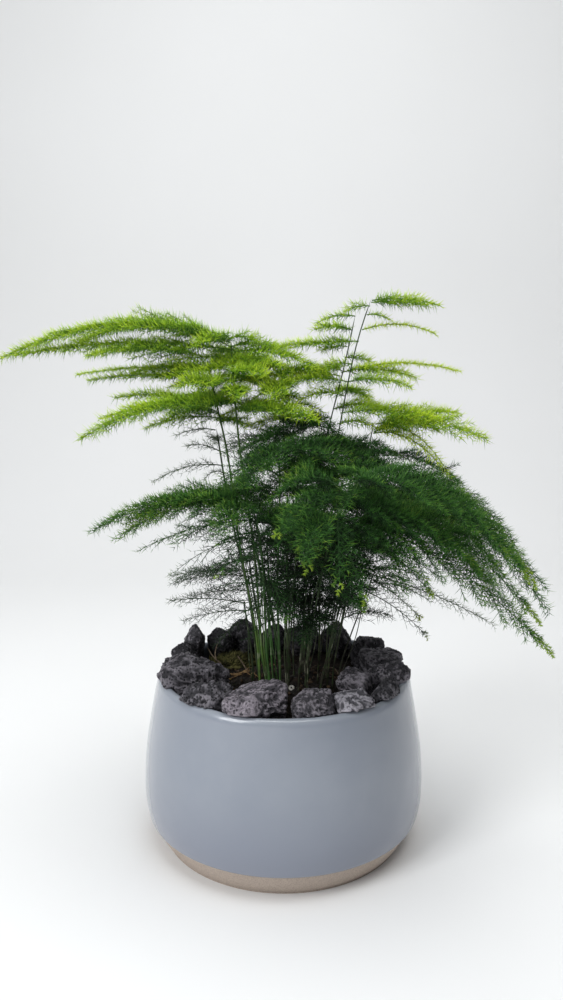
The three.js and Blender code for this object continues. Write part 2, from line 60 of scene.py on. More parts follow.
GLAZE_THIN = (0.31, 0.335, 0.375)
GLAZE_DEEP = (0.215, 0.235, 0.29)
BARE_CLAY = (0.49, 0.41, 0.345)
BARE_CLAY_DARK = (0.345, 0.28, 0.235)
# The colour of the painted shadow just under the glaze lip.
PAINTED_LIP_SHADOW = (0.045, 0.042, 0.045)
GLAZED_FROM = (13.7 * MM, 13.9 * MM)
# The heights over which that painted shadow darkens the clay up to the lip.
PAINTED_SHADOW_UP_TO_LIP = (12.5 * MM, 13.3 * MM)
DEEP_NEAR_FOOT = (12 * MM, 58 * MM)
THIN_NEAR_RIM = (86.5 * MM, 89.5 * MM)
GLAZE_ROUGHNESS = 0.16
CLAY_ROUGHNESS = 0.78
WAVES_FROM = 74.0
WAVES_GROW_OVER = 14.0
RIM_SWELLS = [(3, 0.35, 0.4), (7, 0.2, 1.1)]
RIM_RISES = [(2, 0.45, 0.8), (5, 0.22, 2.0), (11, 0.1, 0.0)]


def smooth_line(points, steps):
    """A curve through the given points: between each pair, a cubic whose slope at a point is half
    the step from its neighbour before to its neighbour after, at `steps` even parameters a span."""
    p = np.array(points, float)
    before = np.vstack([2 * p[0] - p[1], p, 2 * p[-1] - p[-2]])
    slope = (before[2:] - before[:-2]) / 2
    t = (np.arange(steps) / steps)[None, :, None]
    start, end, m0, m1 = p[:-1, None], p[1:, None], slope[:-1, None], slope[1:, None]
    curve = ((2 * t**3 - 3 * t**2 + 1) * start + (t**3 - 2 * t**2 + t) * m0
             + (3 * t**2 - 2 * t**3) * end + (t**3 - t**2) * m1)
    return np.vstack([curve.reshape(-1, p.shape[1]), p[-1:]])


def mesh_piece(name, places, faces, material, **attributes):
    """An object whose mesh has the given corner places and faces, each a row of corner numbers.
    Attributes are one number a corner, for the material to read."""
    mesh = bpy.data.meshes.new(name)
    faces = np.asarray(faces, np.int32)
    mesh.vertices.add(len(places))
    mesh.vertices.foreach_set("co", np.asarray(places, np.float32).ravel())
    mesh.loops.add(faces.size)
    mesh.loops.foreach_set("vertex_index", faces.ravel())
    mesh.polygons.add(len(faces))
    mesh.polygons.foreach_set("loop_start", np.arange(0, faces.size, faces.shape[1], dtype=np.int32))
    mesh.polygons.foreach_set("use_smooth", np.ones(len(faces), bool))
    for label, values in attributes.items():
        layer = mesh.attributes.new(label, "FLOAT", "POINT")
        layer.data.foreach_set("value", np.asarray(values, np.float32))
    mesh.update(calc_edges=True)
    mesh.materials.append(material)
    piece = bpy.data.objects.new(name, mesh)
    bpy.context.collection.objects.link(piece)
    return piece


def ring_faces(rings, around, closed_rings=False):
    """Four-cornered faces between neighbouring rings of `around` corners each, facing outwards
    where each ring runs counter-clockwise seen from the end that the rings climb to."""
    ring, step = np.meshgrid(np.arange(rings - 1 + closed_rings), np.arange(around), indexing="ij")
    upper = (ring + 1) % rings
    beside = (step + 1) % around
    corners = [ring * around + step, ring * around + beside, upper * around + beside, upper * around + step]
    return np.stack([c.ravel() for c in corners], axis=1)


def in_halves(faces):
    """Each four-cornered face cut in two along the line from its first corner to its third."""
    return np.vstack([faces[:, [0, 1, 2]], faces[:, [0, 2, 3]]])


def capped_rings(rings, first, last):
    """Triangles over rings of corners, (ring, step, xyz), and a fan to one corner at each end."""
    around = rings.shape[1]
    places = np.vstack([rings.reshape(-1, 3), [first, last]])
    step = np.arange(around)
    beside = (step + 1) % around
    end = (len(rings) - 1) * around
    fans = [np.stack([beside, step, np.full_like(step, len(places) - 2)], 1),
            np.stack([end + step, end + beside, np.full_like(step, len(places) - 1)], 1)]
    return places, np.vstack([in_halves(ring_faces(len(rings), around)), *fans])


class Value:
    """One output of a shader node. Arithmetic on it adds Math nodes."""

    def __init__(self, finish, socket):
        self.finish = finish
        self.socket = socket

    def maths(self, operation, *others):
        inputs = dict(enumerate((self, *others)))
        return self.finish.node("ShaderNodeMath", {"operation": operation}, inputs)

    def __add__(self, other):
        return self.maths("ADD", other)

    def __mul__(self, other):
        return self.maths("MULTIPLY", other)

    def __sub__(self, other):
        return self.maths("SUBTRACT", other)

    def __rsub__(self, other):
        return self * -1 + other

    __radd__ = __add__
    __rmul__ = __mul__

    def steps_up(self, low, high):
        """Nought below `low`, one above `high`, and a smooth climb between them."""
        inputs = {"Value": self, "From Min": low, "From Max": high}
        return self.finish.node("ShaderNodeMapRange", {"interpolation_type": "SMOOTHSTEP"}, inputs)


class Finish:
    """A material that is being made. Constants go straight onto the surface's own sockets."""

    def __init__(self, name, **constants):
        self.material = bpy.data.materials.new(name)
        self.material.use_nodes = True
        self.tree = self.material.node_tree
        self.surface = self.tree.nodes["Principled BSDF"]
        for socket, value in constants.items():
            self.surface.inputs[socket.replace("_", " ")].default_value = value

    def node(self, kind, settings=None, inputs=None, output=0):
        """A node of any kind: its settings, a ramp's stops among them, then its values and links.
        A colour is given as its red, green and blue."""
        made = self.tree.nodes.new(kind)
        for setting, value in (settings or {}).items():
            if setting == "stops":
                ramp = made.color_ramp.elements
                for _ in value[2:]:
                    ramp.new(0.5)
                for stop, (position, colour) in zip(ramp, value):
                    stop.position, stop.color = position, (*colour, 1)
            else:
                setattr(made, setting, value)
        for socket, value in (inputs or {}).items():
            if isinstance(value, Value):
                self.tree.links.new(value.socket, made.inputs[socket])
            else:
                made.inputs[socket].default_value = (*value, 1) if isinstance(value, tuple) else value
        return Value(self, made.outputs[output])

    def place(self):
        return self.node("ShaderNodeTexCoord", output="Object")

    def height(self):
        """How high a point of the surface lies above the table, in metres."""
        return self.node("ShaderNodeSeparateXYZ", {}, {"Vector": self.place()}, output="Z")

    def stored(self, name):
        """The number stored on the mesh under that name."""
        return self.node("ShaderNodeAttribute", {"attribute_name": name}, output="Fac")

    def noise(self, scale, detail=3.0, roughness=0.55):
        inputs = {"Vector": self.place(), "Scale": scale, "Detail": detail, "Roughness": roughness}
        return self.node("ShaderNodeTexNoise", {}, inputs)

    def colour(self, share, first, second):
        """The first colour, with the given share of the second mixed in."""
        settings = {"data_type": "RGBA", "clamp_factor": True}
        return self.node("ShaderNodeMix", settings, {0: share, 6: first, 7: second}, output=2)

    def bump(self, height, distance, below=None):
        """The slopes of a relief `distance` deep, laid over those of the bump below it."""
        inputs = {"Height": height, "Distance": distance, "Strength": 1.0}
        if below:
            inputs["Normal"] = below
        return self.node("ShaderNodeBump", {}, inputs)

    def set(self, **links):
        """Links values to the surface's sockets, and gives the finished material."""
        for socket, value in links.items():
            self.tree.links.new(value.socket, self.surface.inputs[socket.replace("_", " ")])
        return self.material


def pot_material():
    """Glaze above the lip and bare clay below it. The glaze is a little paler where it runs thin
    on the rim, deeper near the foot, and has the faint unevenness of a dipped glaze. Just under
    the lip, a near-black band of painted shadow darkens the bare clay."""
    finish = Finish("pot_glaze_and_clay", Specular_IOR_Level=0.5, Coat_Roughness=0.04, Coat_IOR=1.5)
    height = finish.height()
    glazed = height.steps_up(*GLAZED_FROM)
    cloud = finish.noise(22.0, 4.0)
    glaze = finish.colour(cloud.steps_up(0.35, 0.7) * 0.35, GLAZE_COLOUR, GLAZE_THIN)
    glaze = finish.colour(1 - height.steps_up(*DEEP_NEAR_FOOT), glaze, GLAZE_DEEP)
    glaze = finish.colour(height.steps_up(*THIN_NEAR_RIM) * 0.7, glaze, GLAZE_THIN)
    speck = finish.noise(900.0, 2.0).steps_up(0.70, 0.78) * 0.18
    glaze = finish.colour(speck, glaze, GLAZE_DEEP)
    grain = finish.noise(1400.0, 3.0)
    clay = finish.colour(grain.steps_up(0.3, 0.72), BARE_CLAY, BARE_CLAY_DARK)
    # Painted shadow: a near-black band on the bare clay just under the glaze lip.
    painted_lip_shadow = height.steps_up(*PAINTED_SHADOW_UP_TO_LIP) * (1 - glazed)
    clay = finish.colour(painted_lip_shadow * 0.9, clay, PAINTED_LIP_SHADOW)
    waviness = finish.bump(finish.noise(16.0, 2.0), 1.4 * MM)
    skin = finish.bump(finish.noise(420.0, 2.0) * glazed, 0.012 * MM, waviness)
    roughness = glazed * (GLAZE_ROUGHNESS - CLAY_ROUGHNESS) + CLAY_ROUGHNESS + cloud * 0.05
    surface = finish.bump(grain * (1 - glazed), 0.12 * MM, skin)
    return finish.set(Base_Color=finish.colour(glazed, clay, glaze), Roughness=roughness,
                      Coat_Weight=glazed * 0.5, Normal=surface)


def waves(turn, rows):
    """Sine waves round the pot, added up. Each row is (how many, height, start)."""
    return sum(height * np.sin(count * turn + start) for count, height, start in rows)


def pot_shell():
    """The profile turned once round the axis. The rim swells, rises and dips by waves round the
    pot that fade out below it, as a hand-finished rim does. Corners on the axis are one each."""
    line = smooth_line(BARE_FOOT + GLAZE_LIP + GLAZED_SIDE + ROUND_RIM + INNER_SIDE, POT_STEPS_PER_SPAN)
    radius, height = line[1:-1, :1], line[1:-1, 1:]
    turn = np.linspace(0, TURN, POT_STEPS_ROUND, endpoint=False)[None]
    near_rim = np.clip((height - WAVES_FROM) / WAVES_GROW_OVER, 0, 1) ** 2
    out = radius + near_rim * waves(turn, RIM_SWELLS)
    up = height + near_rim * waves(turn, RIM_RISES)
    rings = np.stack([out * np.cos(turn), out * np.sin(turn), up], axis=2)
    places, faces = capped_rings(rings, (0, 0, line[0, 1]), (0, 0, line[-1, 1]))
    return mesh_piece("glazed_pot", places * MM, faces, pot_material())


pot = pot_shell()
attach(pot, "root")
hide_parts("pot")


# The soil: dark, crumbly potting compost that fills the pot to a shelf under the stones and is
# mounded round the stems. It is one closed body, rough on top and plain against the pot's wall.
SHELF = 79.5
MOUND = 84.0
MOUND_RADIUS = 24.0
SHELF_RADIUS = 33.0
SOIL_RADIUS = 65.6
SOIL_BOTTOM = 40.0
SOIL_RINGS = 56
SOIL_STEPS_ROUND = 118
SOIL_RING_POWER = 0.8
RIPPLE_WAVES = 28
SOIL_LUMPS = [(0.55, 13, 1), (0.4, 5, 2), (0.28, 2.2, 3)]
SOIL_DARK = (0.006, 0.0045, 0.0035)
SOIL_BROWN = (0.045, 0.030, 0.020)
SOIL_DAMP = (0.012, 0.010, 0.008)
SOIL_FIBRE = (0.16, 0.10, 0.055)


def ripples(places, size, seed):
    """Smooth, aimless bumps: the sum of cosine waves that run in random directions, with a wave
    length near `size`, scaled to lie mostly between -1 and 1."""
    draw = np.random.default_rng(seed)
    along = draw.normal(size=(RIPPLE_WAVES, 3))
    length = np.linalg.norm(along, axis=1)
    along *= (TURN / size / length * draw.uniform(0.6, 1.5, RIPPLE_WAVES))[:, None]
    start = draw.uniform(0, TURN, RIPPLE_WAVES)
    return np.cos(places @ along.T + start).sum(axis=1) / np.sqrt(RIPPLE_WAVES)


def soil_material():
    """Rough crumbs from near black to brown, darker in damp clouds, with small flecks of fibre."""
    finish = Finish("potting_soil", Specular_IOR_Level=0.25)
    crumb = finish.noise(420.0, 6.0, 0.7)
    damp = finish.noise(60.0, 3.0)
    fleck = finish.noise(900.0, 2.0).steps_up(0.66, 0.74)
    brown = finish.colour(crumb.steps_up(0.35, 0.75), SOIL_DARK, SOIL_BROWN)
    brown = finish.colour(damp.steps_up(0.4, 0.7) * 0.6, brown, SOIL_DAMP)
    brown = finish.colour(fleck * 0.5, brown, SOIL_FIBRE)
    normal = finish.bump(crumb, 1.2 * MM)
    return finish.set(Base_Color=brown, Roughness=crumb * 0.2 + 0.75, Normal=normal)


def soil_height(x, y):
    """Height of the soil's top: the mound, a slope, and the shelf, with lumps of three sizes."""
    r = np.hypot(x, y)
    slope = np.clip((SHELF_RADIUS - r) / (SHELF_RADIUS - MOUND_RADIUS), 0, 1)
    flat = np.stack([x, y, 0 * x], axis=-1).reshape(-1, 3)
    lumps = sum(height * ripples(flat, size, seed) for height, size, seed in SOIL_LUMPS)
    return SHELF + (MOUND - SHELF) * slope * slope * (3 - 2 * slope) + lumps.reshape(r.shape)


def soil_body():
    """The top on a grid of rings from the middle outwards, then a wall down and a flat bottom."""
    turn = np.linspace(0, TURN, SOIL_STEPS_ROUND, endpoint=False)[None]
    r = SOIL_RADIUS * np.linspace(0, 1, SOIL_RINGS)[1:, None] ** SOIL_RING_POWER
    x, y = r * np.cos(turn), r * np.sin(turn)
    top = np.stack([x, y, soil_height(x, y)], axis=2)
    wall = np.stack([x[-1], y[-1], np.full(SOIL_STEPS_ROUND, SOIL_BOTTOM)], axis=1)[None]
    middle = soil_height(np.zeros(1), np.zeros(1))[0]
    rings = np.concatenate([top, wall])[::-1]
    places, faces = capped_rings(rings, (0, 0, SOIL_BOTTOM), (0, 0, middle))
    return mesh_piece("potting_soil", places * MM, faces, soil_material())


soil = soil_body()
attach(soil, "root")
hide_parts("soil")


# The lava stones: eighteen broken pieces of dark, gas-pitted rock in a ring on the soil, some
# leaning on the rim. A row is (name, x, y, width, depth, height, turn, paleness, redness).
STONES = [
    ("left_big", -47, -18, 32, 28, 27, 10, 0.34, 0.35),
    ("left_outer", -58, 3, 20, 18, 21, 40, 0.30, 0.2),
    ("left_front", -38, -45, 28, 24, 22, 30, 0.28, 0.3),
    ("front_big", -13, -53, 37, 28, 26, 5, 0.5, 0.75),
    ("front", 14, -54, 25, 25, 23, 60, 0.38, 0.5),
    ("front_right", 33, -50, 23, 22, 22, 20, 0.80, 0.1),
    ("right_inner", 39, -25, 27, 23, 22, 0, 0.42, 0.45),
    ("right_front", 52, -36, 21, 19, 20, 50, 0.20, 0.2),
    ("right", 58, -14, 22, 22, 24, 80, 0.35, 0.35),
    ("right_back", 55, 12, 30, 27, 22, 15, 0.24, 0.2),
    ("back_right", 50.5, 36, 23, 22, 23, 35, 0.03, 0.1),
    ("back_tall", 34.5, 50.5, 23, 21, 24, 70, 0.0, 0.1),
    ("back", 12, 56, 24, 21, 22, 25, 0.0, 0.2),
    ("back_middle", -7, 58, 20, 18, 22.5, 0, 0.05, 0.1),
    ("back_left", -26, 53, 24, 21, 25, 45, 0.04, 0.1),
    ("back_small", -40, 45, 20, 18, 23, 10, 0.1, 0.1),
    ("left_upright", -54.5, 33.5, 15.5, 16, 30, 30, 0.36, 0.3),
    ("left_small", -58, 19, 18, 18, 21, 65, 0.20, 0.2),
]
RIM_HEIGHT = 90.0
RIM_RADIUS = 70.0
RIM_WALL = 5.0
STONE_SEAT = 0.4
STONE_REACH = 70.4
STONE_STEPS = 19
GAP = 0.35
GOLDEN = 0.618033988749895
STONE_CUTS = 12
CUT_DEPTH = 0.78
CUT_SPREAD = 0.24
CUT_SOFTNESS = 26
STONE_FACETS = 8
FACET_DEPTHS = (0.56, 0.84)
FACET_SOFTNESS = 60
NEIGHBOUR_SOFTNESS = 30
PITS_PER_STONE = 150
PIT_SIZES = (0.7, 2.6)
PIT_DEPTH = 0.07
PIT_CELLS = [(300.0, 0.17, 0.30), (640.0, 0.22, 0.40)]
FEWER_PITS_ABOVE = 0.36
DUSTY_ABOVE = 0.5
LEAN_BELOW_RIM = 2.0
MOST_STRETCH = 2.2
OVER_SIDE_RIMS = 3.5


def spread(n):
    """A fraction from 0 to 1 that spreads evenly as n counts up."""
    return (n * GOLDEN) % 1


def one_long(ways):
    """Each way divided by its own length."""
    return ways / np.linalg.norm(ways, axis=-1, keepdims=True)


def spiral_directions(order):
    """Directions that a spiral spreads evenly over the ball, turned by the stone's order."""
    k = np.arange(STONE_CUTS)
    z = 1 - (2 * k + 1) / STONE_CUTS
    around = TURN * GOLDEN * k + 1.7 * order
    flat = np.sqrt(1 - z * z)
    return np.stack([flat * np.cos(around), flat * np.sin(around), z], axis=1)


def ball_grid(steps):
    """Directions on the six faces of a cube, pushed out to a ball, with shared edges merged."""
    shape = bmesh.new()
    bmesh.ops.create_cube(shape, size=2)
    bmesh.ops.subdivide_edges(shape, edges=shape.edges, cuts=steps, use_grid_fill=True)
    shape.verts.ensure_lookup_table()
    places = np.array([v.co[:] for v in shape.verts])
    faces = np.array([[v.index for v in f.verts] for f in shape.faces])
    shape.free()
    places = np.tan(places * np.pi / 4)
    return one_long(places), faces


def cut_back(offsets, normals, reaches, soft):
    """Pulls each offset towards the middle until it is behind every flat cut. `soft` rounds the
    edges where cuts meet, by a smooth smallest-of instead of a sharp one."""
    ahead = offsets @ normals.T / reaches
    length = (np.sum(np.maximum(ahead, 1e-6) ** soft, axis=1) + 1) ** (1 / soft)
    return offsets / length[:, None]


def stone_material(name, pale, red):
    """Rough charcoal rock with gas pits of two sizes, painted nearly black as shade in the holes, a
    paler grain between them, painted shade in the low hollows of the relief, and a mauve cast. The
    palest stone is dusty all over and has few pits."""
    finish = Finish(f"lava_{name}", Specular_IOR_Level=0.3)
    large = finish.noise(60.0, 4.0, 0.6)
    middle = finish.noise(260.0, 5.0, 0.68)
    fine = finish.noise(950.0, 6.0, 0.8)
    pits = []
    for scale, bottom, edge in PIT_CELLS:
        cells = {"Vector": finish.place(), "Scale": scale, "Randomness": 1.0}
        apart = finish.node("ShaderNodeTexVoronoi", {}, cells, output="Distance")
        pits.append(1 - apart.steps_up(bottom, edge))
    pit = pits[0] * middle.steps_up(0.43, 0.48) + pits[1] * large.steps_up(0.36, 0.46) * 0.9
    pit = pit.maths("MINIMUM", 1.0) * (0.95 - 1.6 * max(0, pale - FEWER_PITS_ABOVE))
    base = 0.100 + 0.450 * pale
    dusty = max(0, pale - DUSTY_ABOVE)
    painted_hollow_shade = (base * 0.09, base * 0.09, base * 0.105)
    body = (base * (1.02 + 0.08 * red), base * (0.98 - 0.04 * red), base * 1.08)
    light = base * (1.60 - 1.1 * dusty)
    grain = (light, light * 0.97, light * 1.04)
    shade = base * (0.45 + 0.9 * dusty)
    relief = finish.stored("relief")
    rock = finish.colour(fine.steps_up(0.34, 0.50), (shade, shade * 0.98, shade * 1.08), body)
    rock = finish.colour(fine.steps_up(0.50, 0.68) * 0.8, rock, grain)
    # Painted shade: darker where the stored relief is low, in the hollows between lumps and in pits.
    rock = finish.colour((1 - relief.steps_up(0.05, 0.60)) * 0.85, rock, painted_hollow_shade)
    # Painted shade in the gas pits, nearly black.
    rock = finish.colour(pit, rock, painted_hollow_shade)
    rough = finish.bump(middle, 2.6 * MM)
    grit = finish.bump(fine, 0.7 * MM, rough)
    normal = finish.bump(pit * -1, 1.2 * MM, grit)
    return finish.set(Base_Color=rock, Roughness=fine * 0.15 + 0.82, Normal=normal)


def broken_ball(order, directions, radius):
    """A ball that flat breaks cut back at uneven depths, with lumps and with gas pits of 1 to 3 mm
    on a stone of that radius, and the relief of its surface, from 0 in a pit to 1 on a lump."""
    breaks = CUT_DEPTH + CUT_SPREAD * spread(3 * np.arange(STONE_CUTS) + 5 * order)
    unit = cut_back(directions * 1.06, spiral_directions(order), breaks, CUT_SOFTNESS)
    draw = np.random.default_rng(100 + order)
    facets = one_long(draw.normal(size=(STONE_FACETS, 3)))
    unit = cut_back(unit, facets, draw.uniform(*FACET_DEPTHS, STONE_FACETS), FACET_SOFTNESS)
    pits = one_long(draw.normal(size=(PITS_PER_STONE, 3)))
    pit_size = draw.uniform(*PIT_SIZES, PITS_PER_STONE) / radius
    apart = np.linalg.norm(directions[:, None] - pits[None], axis=2) / pit_size
    hollow = np.max(np.exp(-apart**4) * np.minimum(1, pit_size * 9), axis=1)
    lumps = 0.015 * ripples(unit, 0.8, 200 + order) - 0.044 * np.abs(ripples(unit, 0.3, 300 + order))
    grit = 0.028 * ripples(unit, 0.14, 400 + order) + 0.016 * ripples(unit, 0.07, 500 + order)
    rough = lumps + grit - PIT_DEPTH * hollow
    return unit * (1.12 + rough)[:, None], np.clip(0.66 + rough / 0.14, 0, 1)


def drawn_to_rim(offset, centre):
    """The offsets of a stone from its centre, drawn out until it leans on the rim, if it is near."""
    from_axis = np.hypot(centre[0], centre[1])
    outward = np.array([centre[0], centre[1], 0]) / from_axis
    toward_rim = np.maximum(offset @ outward, 0)
    level = np.abs(centre[2] + offset[:, 2] - RIM_HEIGHT + LEAN_BELOW_RIM) < 3
    room = RIM_RADIUS - RIM_WALL + 1 + OVER_SIDE_RIMS * abs(centre[0]) / from_axis - from_axis
    stretch = np.clip(room / toward_rim[level].max(), 1.0, MOST_STRETCH)
    return offset + outward * (toward_rim * (stretch - 1))[:, None]


def clear_of_neighbours(offset, order):
    """The offsets of a stone, stopped on the way to each neighbour at its share of the distance."""
    _, x, y, width, depth = STONES[order][:5]
    others = [other for i, other in enumerate(STONES) if i != order]
    away = np.array([(other[1] - x, other[2] - y, 0) for other in others], float)
    gaps = np.linalg.norm(away, axis=1)
    share = (width + depth) / (width + depth + np.array([other[3] + other[4] for other in others]))
    return cut_back(offset, away / gaps[:, None], gaps * share - GAP, NEIGHBOUR_SOFTNESS)


def inside_rim(places):
    """The places of a stone, held inside the pot's wall, or just over the rim where above it."""
    flat = np.hypot(places[:, 0], places[:, 1])
    over_rim = np.clip((places[:, 2] - (RIM_HEIGHT - 1.5)) / 2.0, 0, 1)
    inside = RIM_RADIUS - RIM_WALL - GAP
    reach = np.where(places[:, 2] > RIM_HEIGHT + 0.2, STONE_REACH, inside + over_rim * 2.0)
    pull = np.minimum(1, reach / flat)
    return places * np.stack([pull, pull, np.ones_like(pull)], axis=1)


def lava_stone(order):
    """A broken ball, drawn to the stone's size, turned, fitted in its place in the ring, and given
    a flat seat on the soil."""
    name, x, y, width, depth, height, turn, pale, red = STONES[order]
    centre = np.array([x, y, SHELF + height * STONE_SEAT])
    directions, faces = ball_grid(STONE_STEPS)
    unit, relief = broken_ball(order, directions, (width + depth) / 4)
    offset = unit * [width / 2, depth / 2, height / 2]
    c, s = np.cos(np.radians(turn)), np.sin(np.radians(turn))
    offset = offset @ np.array([[c, s, 0], [-s, c, 0], [0, 0, 1]])
    offset = clear_of_neighbours(drawn_to_rim(offset, centre), order)
    offset[:, 2] = np.maximum(offset[:, 2], SHELF + GAP - centre[2])
    places = inside_rim(centre + offset) * MM
    return mesh_piece(f"lava_{name}", places, faces, stone_material(name, pale, red), relief=relief)


for number, row in enumerate(STONES):
    stone = lava_stone(number)
    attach(stone, "root")
    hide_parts(f"stone_{row[0]}")


# The leafy stems: wiry canes that stand in the soil and carry flat, layered sprays. A spray has a
# midrib, side twigs on both sides, and tufts of fine needles all along them.
GOLDEN_ANGLE = 137.5


def tiers(count, top, step, bearing, reach, arch, fall, breadth):
    """Sprays one under the other, each turned on from the last by the golden angle. Those that
    point towards `bearing` are the longest and fall the most."""
    rows = []
    for tier in range(count):
        turn = bearing + GOLDEN_ANGLE * tier
        outward = 0.5 + 0.5 * np.cos(np.radians(turn - bearing))
        length = reach * (0.68 + 0.32 * outward)
        rows.append((top - tier * step, turn, length, arch, fall * (0.5 + 0.5 * outward), breadth))
    return rows


